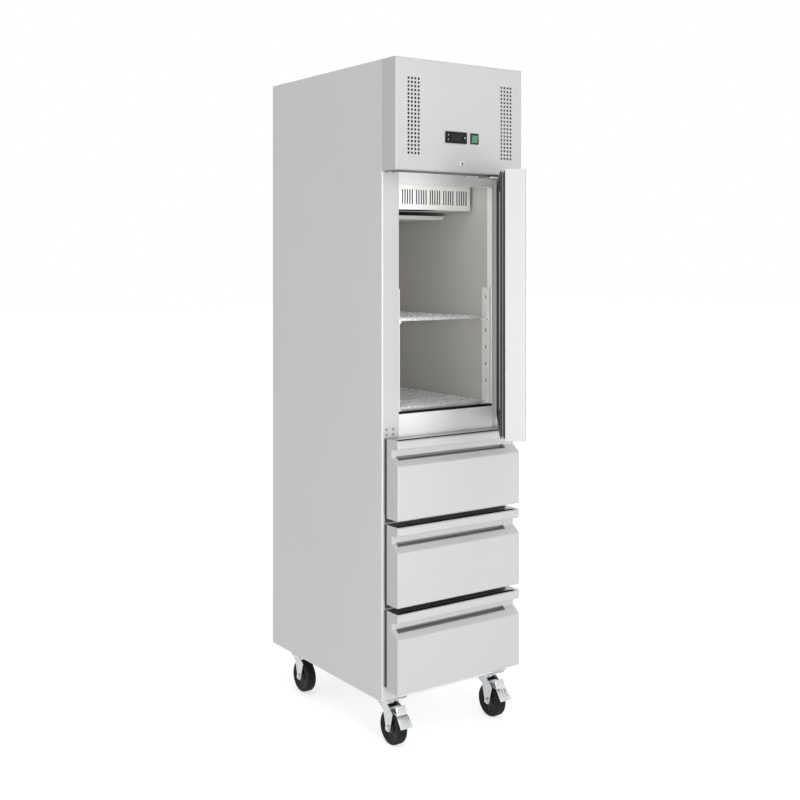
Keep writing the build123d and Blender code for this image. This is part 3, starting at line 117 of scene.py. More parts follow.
soft_lamp("front_softbox", (-0.6, -3.4, 1.15), (0, -0.2, 1.15), 1.2, 1.2, 44)
soft_lamp("camera_softbox", (-2.3, -3.3, 1.25), (0, -0.2, 1.2), 1.2, 1.2, 22)
soft_lamp("top_softbox", (-0.4, -1.9, 3.0), (0, -0.2, 1.0), 1.0, 1.0, 7)
soft_lamp("ceiling_strip", (0, -0.085, 1.63), (0, 0.15, 1.2), 0.28, 0.03, 0.06)
soft_lamp("upright_strip", (-0.168, -0.1, 1.3), (0.17, -0.04, 1.3), 0.02, 0.6, 0.5)


# Outer sheets: satin stainless steel, brushed along its length. Each side sheet is
# folded round into a front stile, and the cover closes the top.
def shared_effect(name, inputs, outputs):
    """Starts a node group with named inputs and outputs, and gives its tree and its two ends."""
    group = bpy.data.node_groups.new(name, "ShaderNodeTree")
    for direction, sockets in (("INPUT", inputs), ("OUTPUT", outputs)):
        for socket, kind in sockets:
            group.interface.new_socket(socket, in_out=direction, socket_type="NodeSocket" + kind)
    return group, wired(group, "NodeGroupInput").outputs, wired(group, "NodeGroupOutput")


def fine_grain():
    """Streaks and clouds: a tone near 1, a roughness and a normal that change over the surface."""
    if "fine grain" in bpy.data.node_groups:
        return bpy.data.node_groups["fine grain"]
    group, given, end = shared_effect(
        "fine grain",
        [("Place", "Vector"), ("Streak", "Vector"), ("Cloud Scale", "Float"),
         ("Tone Change", "Float"), ("Roughness", "Float"), ("Roughness Change", "Float"),
         ("Depth", "Float"), ("Normal", "Vector")],
        [("Tone", "Float"), ("Roughness", "Float"), ("Normal", "Vector")])
    streak = wired(group, "ShaderNodeTexNoise",
                   {"Vector": given["Streak"], "Scale": 1.0, "Detail": 4.0, "Roughness": 0.6})
    cloud = wired(group, "ShaderNodeTexNoise",
                  {"Vector": given["Place"], "Scale": given["Cloud Scale"], "Detail": 3.0})
    both = wired(group, "ShaderNodeMath", {0: streak.outputs[0], 1: cloud.outputs[0]},
                 operation="ADD")
    centred = wired(group, "ShaderNodeMath", {0: both.outputs[0], 1: 1.0}, operation="SUBTRACT")
    tone = wired(group, "ShaderNodeMath", {0: centred.outputs[0], 1: given["Tone Change"], 2: 1.0},
                 operation="MULTIPLY_ADD")
    smear = wired(group, "ShaderNodeMath", {0: cloud.outputs[0], 1: 0.5}, operation="SUBTRACT")
    rough = wired(group, "ShaderNodeMath", {0: smear.outputs[0], 1: given["Roughness Change"],
                                            2: given["Roughness"]}, operation="MULTIPLY_ADD")
    relief = wired(group, "ShaderNodeBump",
                   {"Strength": given["Depth"], "Distance": 0.0003,
                    "Height": streak.outputs[0], "Normal": given["Normal"]})
    for socket, source in (("Tone", tone), ("Roughness", rough), ("Normal", relief)):
        group.links.new(source.outputs[0], end.inputs[socket])
    return group


def softened_edge():
    """Rounds hard edges in the light, and gives a patchy mask along them that is partly handling
    wear and partly painted highlight.
    """
    if "softened edge" in bpy.data.node_groups:
        return bpy.data.node_groups["softened edge"]
    group, given, end = shared_effect(
        "softened edge", [("Place", "Vector"), ("Radius", "Float"), ("Wear And Sheen Amount", "Float")],
        [("Edge Wear And Sheen", "Float"), ("Normal", "Vector")])
    rounded = wired(group, "ShaderNodeBevel", {"Radius": given["Radius"]}, samples=4)
    plain = wired(group, "ShaderNodeNewGeometry")
    turn = wired(group, "ShaderNodeVectorMath", {0: rounded.outputs[0], 1: plain.outputs["Normal"]},
                 operation="DOT_PRODUCT")
    bent = wired(group, "ShaderNodeMath", {0: 1.0, 1: turn.outputs["Value"]}, operation="SUBTRACT")
    patch = wired(group, "ShaderNodeTexNoise",
                  {"Vector": given["Place"], "Scale": 60.0, "Detail": 3.0})
    patchy_wear_and_sheen = wired(group, "ShaderNodeMath", {0: bent.outputs[0], 1: patch.outputs[0]},
                 operation="MULTIPLY")
    edge_wear_and_sheen = wired(group, "ShaderNodeMath", {0: patchy_wear_and_sheen.outputs[0], 1: given["Wear And Sheen Amount"]},
                   operation="MULTIPLY", use_clamp=True)
    group.links.new(edge_wear_and_sheen.outputs[0], end.inputs["Edge Wear And Sheen"])
    group.links.new(rounded.outputs[0], end.inputs["Normal"])
    return group


def finish(name, colour, roughness, metallic=0.0, grain=(200, 200, 200), cloud=6.0, tone=0.08,
           smear=0.12, depth=0.1, edge=0.5, wear_and_sheen_amount=0.0, edge_wear_and_sheen=(0.8, 0.8, 0.8), **gloss):
    """A material: its colour, grains per metre along X, Y and Z, and edges softened by edge mm."""
    made = bpy.data.materials.new(name)
    made.use_nodes = True
    tree = made.node_tree
    skin = tree.nodes["Principled BSDF"]
    place = wired(tree, "ShaderNodeTexCoord").outputs["Object"]
    stretched = wired(tree, "ShaderNodeMapping", {"Vector": place, "Scale": grain}).outputs[0]
    rim = wired(tree, "ShaderNodeGroup", {}, node_tree=softened_edge())
    rim.inputs["Radius"].default_value = edge / 1000
    rim.inputs["Wear And Sheen Amount"].default_value = wear_and_sheen_amount
    tree.links.new(place, rim.inputs["Place"])
    detail = wired(tree, "ShaderNodeGroup", {}, node_tree=fine_grain())
    for socket, value in (("Cloud Scale", cloud), ("Tone Change", tone), ("Roughness", roughness),
                          ("Roughness Change", smear), ("Depth", depth)):
        detail.inputs[socket].default_value = value
    tree.links.new(place, detail.inputs["Place"])
    tree.links.new(stretched, detail.inputs["Streak"])
    tree.links.new(rim.outputs["Normal"], detail.inputs["Normal"])
    tinted = wired(tree, "ShaderNodeMix", {"Factor": 1.0, "A": (*colour, 1),
                                           "B": detail.outputs["Tone"]},
                   data_type="RGBA", blend_type="MULTIPLY").outputs["Result"]
    tinted.node.name = "tinted"
    # Edges are mixed towards a lighter colour: partly wear, partly a painted highlight along them.
    bare = wired(tree, "ShaderNodeMix", {"Factor": rim.outputs["Edge Wear And Sheen"], "A": tinted,
                                         "B": (*edge_wear_and_sheen, 1)}, data_type="RGBA").outputs["Result"]
    tree.links.new(bare, skin.inputs["Base Color"])
    tree.links.new(detail.outputs["Roughness"], skin.inputs["Roughness"])
    tree.links.new(detail.outputs["Normal"], skin.inputs["Normal"])
    skin.inputs["Metallic"].default_value = metallic
    for socket, value in gloss.items():
        skin.inputs[socket.replace("_", " ")].default_value = value
    return made


def dress(name, material):
    """Gives a carried-over solid its material."""
    piece = node[name]
    if not piece.material_slots:
        piece.data.materials.append(material)
    for place in piece.material_slots:
        place.material = material


upright_steel = finish("upright brushed steel", (0.655, 0.655, 0.65), 0.56, 0.45, (1400, 1400, 7),
                       cloud=2.5, tone=0.07, smear=0.10, depth=0.12, edge=0.3, wear_and_sheen_amount=0.1)
cover_steel = finish("cover steel", (0.62, 0.62, 0.615), 0.52, 0.6, (1400, 7, 1400),
                     cloud=2.5, tone=0.07, depth=0.12, edge=0.6)
dress("side_panels", upright_steel)
dress("top_cover", cover_steel)


# Back, base and machine deck: hot-dip galvanised sheet with its zinc flowers.
# The back is held by cross-head sheet metal screws all round.
def zinc_flowers(material, scale, change):
    """Breaks a finish's tone up into the crystals of a zinc coat."""
    tree = material.node_tree
    place = tree.nodes["Texture Coordinate"].outputs["Object"]
    bent = wired(tree, "ShaderNodeTexNoise", {"Vector": place, "Scale": scale * 1.5, "Detail": 2.0})
    shift = wired(tree, "ShaderNodeVectorMath",
                  {0: bent.outputs["Color"], 1: (0.006, 0.006, 0.006), 2: place},
                  operation="MULTIPLY_ADD")
    flower = wired(tree, "ShaderNodeTexVoronoi", {"Vector": shift.outputs[0], "Scale": scale})
    single = wired(tree, "ShaderNodeSeparateColor", {"Color": flower.outputs["Color"]})
    toned = wired(tree, "ShaderNodeMapRange", {"Value": single.outputs[0], "To Min": 1 - change,
                                               "To Max": 1 + change})
    tinted = tree.nodes["tinted"]
    dappled = wired(tree, "ShaderNodeMix", {"Factor": 1.0, "A": tinted.outputs["Result"],
                                            "B": toned.outputs[0]},
                    data_type="RGBA", blend_type="MULTIPLY")
    for link in list(tree.links):
        if link.from_node == tinted and link.to_node != dappled:
            tree.links.new(dappled.outputs["Result"], link.to_socket)
    return material


galvanised = zinc_flowers(finish("galvanised sheet", (0.52, 0.53, 0.54), 0.42, 1.0, (300, 300, 300),
                                 cloud=4, tone=0.08, depth=0.05, edge=0.5), 70, 0.12)
for name in ("back_panel", "base_panel", "machine_deck"):
    dress(name, galvanised)


def bench(piece):
    """Leaves this piece alone selected and active."""
    bpy.ops.object.select_all(action="DESELECT")
    piece.select_set(True)
    bpy.context.view_layer.objects.active = piece


def shape(piece, kind, chosen, *steps):
    """Selects faces, edges or points of a piece by a test and works on them step by step."""
    bench(piece)
    bpy.ops.object.mode_set(mode="EDIT")
    bpy.ops.mesh.select_mode(type=kind)
    bpy.ops.mesh.select_all(action="DESELECT")
    mesh = bmesh.from_edit_mesh(piece.data)
    for part in {"FACE": mesh.faces, "EDGE": mesh.edges, "VERT": mesh.verts}[kind]:
        if chosen(part):
            part.select_set(True)
    bmesh.update_edit_mesh(piece.data)
    for step in steps:
        step()
    bpy.ops.object.mode_set(mode="OBJECT")


def every(part):
    return True


def draw_out(x, y, z):
    """Step: extrudes what is selected by so many millimetres."""
    return lambda: bpy.ops.mesh.extrude_region_move(
        TRANSFORM_OT_translate={"value": (x / 1000, y / 1000, z / 1000)})


def widen(x, y, z, about):
    """Step: scales what is selected about a point given in millimetres."""
    return lambda: bpy.ops.transform.resize(value=(x, y, z),
                                            center_override=[c / 1000 for c in about])


def outward():
    """Step: turns the faces of the whole piece outwards."""
    bpy.ops.mesh.select_all(action="SELECT")
    bpy.ops.mesh.remove_doubles(threshold=0.000002)
    bpy.ops.mesh.normals_make_consistent(inside=False)


def settle(name):
    """Names the newest piece and puts its place, turn and scale into its mesh."""
    piece = bpy.context.object
    piece.name = name
    bench(piece)
    bpy.ops.object.transform_apply(location=True, rotation=True, scale=True)
    return piece


def billet(name, low, high):
    """A rectangular piece from corner to corner, in millimetres."""
    bpy.ops.mesh.primitive_cube_add(size=1, location=[(a + b) / 2000 for a, b in zip(low, high)],
                                    scale=[(b - a) / 1000 for a, b in zip(low, high)])
    return settle(name)


def turned(name, profile, place=(0, 0, 0), axis=(0, 0, 1), sides=48):
    """Turned on a lathe: a disc drawn out through each (radius, height), then set on its axis."""
    radius, height = profile[0]
    bpy.ops.mesh.primitive_circle_add(vertices=sides, radius=radius / 1000, fill_type="NGON",
                                      location=(0, 0, height / 1000))
    piece = settle(name)
    steps = []
    for next_radius, next_height in profile[1:]:
        steps.append(draw_out(0, 0, next_height - height))
        ratio = next_radius / radius
        steps.append(widen(ratio, ratio, 1, (0, 0, next_height)))
        radius, height = next_radius, next_height
    shape(piece, "FACE", every, *steps, outward)
    piece.rotation_euler = Vector(axis).to_track_quat("Z", "Y").to_euler()
    piece.location = [c / 1000 for c in place]
    bench(piece)
    bpy.ops.object.transform_apply(location=True, rotation=True, scale=True)
    return piece


def rounded(piece, width, segments=2, angle=30):
    """Rounds every edge sharper than the angle with a Bevel modifier."""
    bench(piece)
    bevel = piece.modifiers.new("rounding", "BEVEL")
    bevel.width, bevel.segments, bevel.angle_limit = width / 1000, segments, math.radians(angle)
    bevel.limit_method = "ANGLE"
    bpy.ops.object.modifier_apply(modifier="rounding")
    return piece


def cut(piece, *tools):
    """Cuts the tools' shapes out of a piece and puts the tools away."""
    for tool in tools:
        bench(piece)
        saw = piece.modifiers.new("cut", "BOOLEAN")
        saw.operation, saw.solver, saw.object = "DIFFERENCE", "EXACT", tool
        bpy.ops.object.modifier_apply(modifier="cut")
        bpy.data.objects.remove(tool)
    return piece


def twin(piece, name, move):
    """A copy with its own mesh, moved by a matrix in millimetres."""
    copy = piece.copy()
    copy.data = piece.data.copy()
    copy.name = name
    bpy.context.scene.collection.objects.link(copy)
    metres = move.copy()
    metres.translation = move.translation / 1000
    copy.data.transform(metres)
    if move.determinant() < 0:
        copy.data.flip_normals()
    return copy


def joined(name, pieces):
    """Welds pieces into one object."""
    bench(pieces[0])
    for piece in pieces[1:]:
        piece.select_set(True)
    bpy.ops.object.join()
    pieces[0].name = name
    return pieces[0]


def fit(piece, material, body, *stands_for, slot=None, smooth=35):
    """Finishes a piece, hangs it on its body and lets it stand for its CAD nodes."""
    bench(piece)
    bpy.ops.object.shade_smooth_by_angle(angle=math.radians(smooth))
    if material:
        piece.data.materials.clear()
        piece.data.materials.append(material)
    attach(piece, body)
    if stands_for:
        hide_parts(*stands_for)
    bpy.ops.object.select_all(action="DESELECT")
    return piece


def cross_head(name, radius, height):
    """A pan head with a cross recess, its seat at Z 0."""
    head = turned(name, [(radius, 0), (radius, 0.35 * height), (0.86 * radius, 0.72 * height),
                         (0.55 * radius, 0.94 * height), (0.2 * radius, height)], sides=20)
    reach, half = 0.55 * radius, 0.11 * radius
    return cut(head, billet("blade", (-reach, -half, 0.45 * height), (reach, half, 2 * height)),
               billet("blade", (-half, -reach, 0.45 * height), (half, reach, 2 * height)))


def towards(x, y, z, place):
    """Where a fastener goes: its place in millimetres and the way its head looks."""
    turn = Vector((x, y, z)).to_track_quat("Z", "Y").to_matrix().to_4x4()
    return Matrix.Translation(place) @ turn


bright_zinc = finish("bright zinc plate", (0.66, 0.67, 0.68), 0.28, 1.0, (400, 400, 400), cloud=40,
                     tone=0.10, smear=0.2, depth=0.05, edge=0)
back_y, edge_x, lowest_z, screw_pitch = 529.87, 221, 165, 258
sheet_screw = cross_head("sheet_screw", 4.2, 1.9)
back_places = [(side * edge_x, back_y, lowest_z + screw_pitch * row)
               for side in (-1, 1) for row in range(8)]
back_places += [(x, back_y, z) for x in (-110, 0, 110) for z in (149, 1981)]
back_screws = joined("back_panel_screws", [twin(sheet_screw, "screw", towards(0, 1, 0, place))
                                           for place in back_places])
fit(back_screws, bright_zinc, "cabinet", slot="fasteners")
bpy.data.objects.remove(sheet_screw)

# Wall and door filling: rigid polyurethane foam, pale yellow with fine cells.
# It is foamed in place between the sheets, which hide nearly all of it.
foam = finish("rigid foam", (0.75, 0.66, 0.42), 0.9, 0.0, (900, 900, 900), cloud=30, tone=0.25,
              depth=0.6, edge=0)
dress("insulation", foam)
dress("door_foam", foam)

# Front rails, sill and mullions: folded stainless channels, brushed level and let in
# between the two stiles, their steel painted lighter against the shade in the opening.
light_painted_rail_steel = finish("rail steel painted lighter", (0.88, 0.88, 0.875), 0.66, 0.1, (7, 1400, 1400), cloud=2.5,
                    tone=0.06, smear=0.10, depth=0.12, edge=0.6)
dress("front_rails", light_painted_rail_steel)

# Liner: stainless sheets of a duller mill finish, folded and riveted into a box
# for the door compartment and one for the drawers.
liner_steel = finish("mill finish liner steel", (0.62, 0.61, 0.595), 0.58, 0.3, (500, 500, 60),
                     cloud=3, tone=0.06, smear=0.12, depth=0.06, edge=0.8)
dress("liner_panels", liner_steel)

# Breaker strips: white extruded plastic up the inner edges of the door opening and
# thinner ones up those of the drawer bay, clipped between the stiles and the liner.
white_plastic = finish("white moulded plastic", (0.90, 0.90, 0.885), 0.38, 0.0, (900, 900, 900),
                       cloud=8, tone=0.03, smear=0.10, depth=0.08, edge=0.5)
dress("breaker_strips", white_plastic)
bay_foot, bay_head, strip_thick, strip_front, strip_back = 192.1, 877.9, 0.9, -119, -100.2
bay_strips = [billet("strip", (x, strip_front, bay_foot), (x + strip_thick, strip_back, bay_head))
              for x in (-176.95, 176.05)]
fit(joined("drawer_bay_strips", bay_strips), white_plastic, "cabinet", slot="breaker_strips")

# Fascia: a stainless pan brushed level, with two fields of square air holes, hung in
# front of the machine compartment. A grey strip under it is painted shade for its dark underside.
fascia_steel = finish("fascia brushed steel", (0.575, 0.575, 0.57), 0.62, 0.3, (7, 1400, 1400),
                      cloud=2.5, tone=0.07, smear=0.10, depth=0.12, edge=0.4)
dress("fascia_panel", fascia_steel)
underside_shade_grey = finish("grey painted underside shade", (0.22, 0.22, 0.22), 0.8, 0.0, (900, 900, 900), cloud=60,
                  tone=0.3, depth=0.4, edge=0, Specular_IOR_Level=0.15)
under_fascia_shade = cut(billet("under_fascia_shade_strip", (-233, -186, 1670.6), (117, -124, 1671.45)),
                   billet("cam_window", (-10, -172, 1669), (50, -152, 1673)))
fit(rounded(under_fascia_shade, 0.25, 2), underside_shade_grey, "cabinet", slot="fascia_panel")

# Controller: a black moulded bezel clipped into the fascia, a smoked window over a
# three-figure display, and three small keys with light marks.
face_y = -190.134
black_plastic = finish("black moulded plastic", (0.010, 0.010, 0.011), 0.45, 0.0,
                       (1500, 1500, 1500), cloud=20, tone=0.3, smear=0.15, depth=0.15, edge=0,
                       Specular_IOR_Level=0.2)
control_z = 1774.5
bezel = billet("controller_bezel", (-59.5, face_y - 4, control_z - 17),
               (19.5, face_y, control_z + 17))
shape(bezel, "EDGE", lambda e: abs((e.verts[0].co - e.verts[1].co).y) > 0.003,
      lambda: bpy.ops.mesh.bevel(offset=0.0025, segments=5, affect="EDGES"))
cut(bezel, billet("window", (-42, face_y - 5, control_z - 10.5), (2, face_y - 3, control_z + 10.5)),
    *[billet("pocket", (x - 3, face_y - 5, z - 3), (x + 3, face_y - 0.4, z + 3))
      for x, z in ((-51, control_z + 6.5), (-51, control_z - 6.5), (11, control_z))])
rounded(bezel, 0.5, 3)
case = billet("controller_body", (-55.5, face_y + 0.02, control_z - 14.5),
              (15.5, face_y + 50, control_z + 14.5))
rounded(case, 1.2, 2)
fit(joined("controller_bezel", [bezel, case]), black_plastic, "cabinet", "controller_case")
smoked_window = finish("smoked window", (0.008, 0.007, 0.008), 0.14, 0.0, cloud=30, tone=0.2,
                       smear=0.08, depth=0.01, edge=0, Specular_IOR_Level=0.25)
window = rounded(billet("controller_window", (-41.8, face_y - 3.6, control_z - 10.3),
                        (1.8, face_y - 3.02, control_z + 10.3)), 0.3, 2)
fit(window, smoked_window, "cabinet", slot="controller_case")
segments = []
for figure in range(3):
    left = -37 + 11 * figure
    for x, z, wide, tall in ((3.5, 7, 5, 1.1), (3.5, 0, 5, 1.1), (3.5, -7, 5, 1.1),
                             (0.4, 3.5, 1.1, 5.6), (6.6, 3.5, 1.1, 5.6),
                             (0.4, -3.5, 1.1, 5.6), (6.6, -3.5, 1.1, 5.6)):
        low = (left + x - wide / 2, face_y - 3.64, control_z + z - tall / 2)
        high = (left + x + wide / 2, face_y - 3.5, control_z + z + tall / 2)
        segments.append(rounded(billet("segment", low, high), 0.3, 1))
unlit = finish("unlit display segment", (0.045, 0.030, 0.028), 0.3, 0.0, cloud=60, tone=0.2, edge=0)
fit(joined("display_segments", segments), unlit, "cabinet", slot="controller_case")
red_light = finish("red indicator", (0.7, 0.03, 0.02), 0.3, 0.0, cloud=60, tone=0.1, edge=0,
                   Emission_Color=(1.0, 0.05, 0.02, 1), Emission_Strength=0.8)
lamp = turned("indicator_lamp", [(0.9, 0), (0.9, 0.3), (0.6, 0.55), (0.15, 0.62)],
              (-1.5, face_y - 3.5, control_z + 7), (0, -1, 0), 20)
fit(lamp, red_light, "cabinet", slot="controller_case")
mark_white = finish("printed mark", (0.88, 0.88, 0.86), 0.5, 0.0, cloud=200, tone=0.1, edge=0)
for name, x, z, sides, turn in (("key_up", -51, control_z + 6.5, 3, 0),
                                ("key_down", -51, control_z - 6.5, 3, math.pi),
                                ("key_set", 11, control_z, 12, 0)):
    cap = billet(name + "_cap", (x - 2.7, face_y - 4.8, z - 2.7), (x + 2.7, face_y - 1.6, z + 2.7))
    rounded(cap, 0.45, 3)
    fit(cap, black_plastic, name, name)
    mark = turned(name + "_mark", [(2.1, 0), (2.1, 0.12), (1.9, 0.16)], sides=sides)
    mark.data.transform(Matrix.Rotation(math.pi / 2 + turn, 4, "Z"))
    mark.data.transform(Matrix.Rotation(math.pi / 2, 4, "X"))
    mark.data.transform(Matrix.Translation((x / 1000, (face_y - 4.76) / 1000, z / 1000)))
    fit(mark, mark_white, name, slot=name)

# Mains switch: a black snap-in frame with a rocker of clear green plastic, which
# glows when it is on.
dress("switch_case", finish("black switch frame", (0.02, 0.02, 0.02), 0.35, 0.0, (1500, 1500, 1500),
                            cloud=20, tone=0.3, depth=0.1, edge=0.6))
green_plastic = finish("clear green plastic", (0.06, 0.24, 0.13), 0.28, 0.0, cloud=40, tone=0.15,
                       smear=0.08, depth=0.02, edge=0.7, Emission_Color=(0.02, 0.32, 0.13, 1),
                       Emission_Strength=0.12, Coat_Weight=0.3)
dress("rocker", green_plastic)

# Key lock: a chromed barrel screwed into the fascia's lower edge. The plug turns in it
# and carries a flat steel cam behind the fascia.
chrome = finish("chromed brass", (0.78, 0.78, 0.79), 0.14, 1.0, cloud=60, tone=0.06, smear=0.1,
                depth=0.02, edge=0.5)
dress("lock_barrel", chrome)
dress("lock_plug", finish("darkened lock steel", (0.38, 0.38, 0.385), 0.32, 1.0, cloud=60,
                          tone=0.15, smear=0.15, depth=0.05, edge=0.4))

# Compressor: two deep-drawn steel shells welded at a seam, stoved black, with a
# terminal cover and copper stubs, bolted to a folded plate on rubber grommets.
black_enamel = finish("black stove enamel", (0.022, 0.022, 0.024), 0.3, 0.0, (300, 300, 300),
                      cloud=12, tone=0.25, smear=0.2, depth=0.25, edge=0.8, wear_and_sheen_amount=0.6,
                      edge_wear_and_sheen=(0.3, 0.3, 0.3), Coat_Weight=0.3)
can_x, can_y, can_z = -70.0, 279.87, 1705.0
can = turned("compressor_shell", [(46, 6), (66, 8), (76, 15), (79.5, 26), (80, 40), (80, 84),
                                  (82.5, 86), (82.5, 91), (80, 93), (80, 128), (78.2, 142),
                                  (72, 154), (60, 163), (44, 168), (24, 169.7), (4, 170)],
             (can_x, can_y, can_z), sides=72)
terminal = rounded(billet("terminal_cover", (can_x + 68, can_y - 28, can_z + 96),
                          (can_x + 98, can_y + 28, can_z + 146)), 5, 3)
foot_plate = rounded(billet("foot_plate", (can_x - 105, can_y - 85, 1701.05),
                            (can_x + 105, can_y + 85, 1704.4)), 1.2, 2)
feet = [turned("grommet", [(13, 0), (13, 3), (10, 4), (10, 8), (13, 9), (13, 12), (8, 13), (8, 16),
                           (4.5, 17)], (can_x + x, can_y + y, 1704), sides=24)
        for x in (-88, 88) for y in (-68, 68)]
shell = joined("compressor_shell", [can, foot_plate, *feet])
fit(shell, black_enamel, "cabinet", "compressor")
fit(terminal, black_plastic, "cabinet", slot="compressor")
copper = finish("drawn copper", (0.72, 0.36, 0.22), 0.3, 1.0, (200, 200, 200), cloud=25, tone=0.15,
                smear=0.2, depth=0.05, edge=0)
stubs = [turned("copper_stub", [(4.2, 0), (4.2, 24), (3.2, 24.4), (3.2, 40), (1.5, 41)],
                (can_x + x, can_y + y, can_z + z), way, 20)
         for x, y, z, way in ((-72, 20, 120, (-1, 0, 0.25)), (-74, -14, 70, (-1, 0, 0.25)),
                              (-68, -34, 132, (-1, -0.4, 0.25)))]
fit(joined("compressor_stubs", stubs), copper, "cabinet", slot="compressor")

# Condenser: aluminium fins pressed on copper tubes in a shroud, standing on the
# machine deck in front of the compressor.
fin_metal = finish("fin stock aluminium", (0.62, 0.63, 0.64), 0.4, 1.0, (60, 900, 60), cloud=15,
                   tone=0.12, depth=0.08, edge=0)
dress("condenser", fin_metal)

# Evaporator coil: sixty aluminium fins on three rows of copper pipe with return bends,
# hung under the ceiling by two aluminium straps.
fin_count, first_fin, fin_pitch, coil_front = 60, -149.7, 5.0746, 131.9
fin = billet("fin", (-0.25, coil_front, 1569), (0.25, 409.9, 1635))
fins = [twin(fin, "fin", Matrix.Translation((first_fin + fin_pitch * n, 0, 0)))
        for n in range(fin_count)]
bpy.data.objects.remove(fin)
straps = [rounded(billet("strap", (-150, y, 1635.1), (150, y + 20, 1645)), 0.6, 2)
          for y in (coil_front, 389.9)]
fit(joined("coil_fins", fins + straps), fin_metal, "cabinet", "evaporator_coil")
columns, first_pipe, pipe_pitch = 9, 150.9, 30
pipes = []
for row, z in enumerate((1580, 1602, 1624)):
    for column in range(columns):
        y = first_pipe + pipe_pitch * column
        pipes.append(turned("pipe", [(3.9, -156), (4.1, -155.6), (4.1, 155.6), (3.9, 156)],
                            (0, y, z), (1, 0, 0), 16))
        if column < columns - 1:
            bpy.ops.mesh.primitive_torus_add(major_segments=24, minor_segments=10,
                                             major_radius=0.015, minor_radius=0.0041,
                                             rotation=(0, 0, 0),
                                             location=(0, (y + 15) / 1000, z / 1000))
            bend = settle("bend")
            side = 1 if (column + row) % 2 else -1
            shape(bend, "VERT", lambda v: v.co.x * side < -1e-5,
                  lambda: bpy.ops.mesh.delete(type="VERT"))
            shape(bend, "EDGE", lambda e: e.is_boundary, bpy.ops.mesh.edge_face_add, outward)
            bend.data.transform(Matrix.Translation((side * 0.1555, 0, 0)))
            pipes.append(bend)
fit(joined("coil_pipes", pipes), copper, "cabinet", slot="evaporator_coil")

# Fans: a black plastic one for the condenser and a cast aluminium one for the coil,
# each pressed on the shaft of a small enamelled motor.
dress("fan_motors", black_enamel)
dress("condenser_fan_blade", finish("black fan plastic", (0.02, 0.02, 0.022), 0.45, 0.0, cloud=25,
                                    tone=0.3, depth=0.1, edge=0.6))
dress("evaporator_fan_blade", finish("cast fan aluminium", (0.6, 0.6, 0.61), 0.4, 1.0, cloud=40,
                                     tone=0.12, depth=0.1, edge=0.6))

# Evaporator cover and drip tray: white stove-enamelled sheet under the ceiling, with
# pressed air slots across the front. A black sheet just behind them is painted shade.
white_enamel = finish("white stove enamel", (0.74, 0.74, 0.73), 0.36, 0.0, (250, 250, 250), cloud=6,
                      tone=0.03, smear=0.08, depth=0.12, edge=0.7)
dress("evaporator_cover", white_enamel)
dress("drip_tray", white_enamel)
vent_shade_black = finish("black painted vent shade", (0.012, 0.012, 0.012), 0.9, 0.0, (1500, 1500, 1500),
                    cloud=90, tone=0.4, depth=0.6, edge=0, Specular_IOR_Level=0.1)
vent_shade = rounded(billet("evaporator_vent_shade", (-160, -23.4, 1571), (160, -21.4, 1642)), 0.5, 2)
fit(vent_shade, vent_shade_black, "cabinet", slot="evaporator_cover")

# Shelf supports: slotted stainless pilasters screwed to the liner, with pressed clips
# hooked into them. A black strip behind each is painted shade that darkens their slots.
pilaster_steel = finish("pilaster steel", (0.90, 0.895, 0.89), 0.40, 0.15, (900, 900, 8), cloud=5,
                        tone=0.05, depth=0.1, edge=0.5)
dress("shelf_supports", pilaster_steel)
black_shade = finish("black painted shade", (0.012, 0.012, 0.012), 0.8, 0.0, (700, 700, 700), cloud=30,
                      tone=0.3, depth=0.5, edge=0, Specular_IOR_Level=0.1)
pilaster_shades = [rounded(billet("pilaster_shade", (x, y, 970), (x + 1, y + 32.8, 1328)), 0.3, 2)
         for x in (-175.6, 174.6) for y in (-113.5, 430.6)]
fit(joined("pilaster_shade_strips", pilaster_shades), black_shade, "cabinet", slot="shelf_supports")

# Wire shelves: round wires welded over a rim and cross bars, nickel-chromed. They
# rest loose on the clips and lift off.
shelf_chrome = finish("plated wire", (0.88, 0.88, 0.89), 0.28, 0.4, (120, 120, 120), cloud=30,
                      tone=0.08, smear=0.15, depth=0.02, edge=0)
dress("wire_shelf_lower", shelf_chrome)
dress("wire_shelf_upper", shelf_chrome)

# Door: a stainless skin folded round the edges over foam, closed by a pressed inner
# panel. It hangs on two pins at the right.
dress("door_skin", finish("door skin steel", (0.53, 0.53, 0.525), 0.6, 0.4, (1400, 1400, 7),
                          cloud=2.5, tone=0.07, smear=0.10, depth=0.12, edge=0.8))
dress("door_inner_panel", liner_steel)

# Door gasket: a welded frame of black magnetic seal, pressed into the inner panel; the
# grey of its middle rib is a painted highlight. The drawers have the same seal in their own sizes.
seal_rubber = finish("black seal rubber", (0.020, 0.020, 0.021), 0.5, 0.0, (700, 700, 700),
                     cloud=15, tone=0.25, smear=0.15, depth=0.12, edge=0)
rib_sheen_grey = finish("grey painted rib sheen", (0.13, 0.13, 0.13), 0.5, 0.0, (700, 700, 700),
                        cloud=15, tone=0.15, smear=0.15, depth=0.12, edge=0)


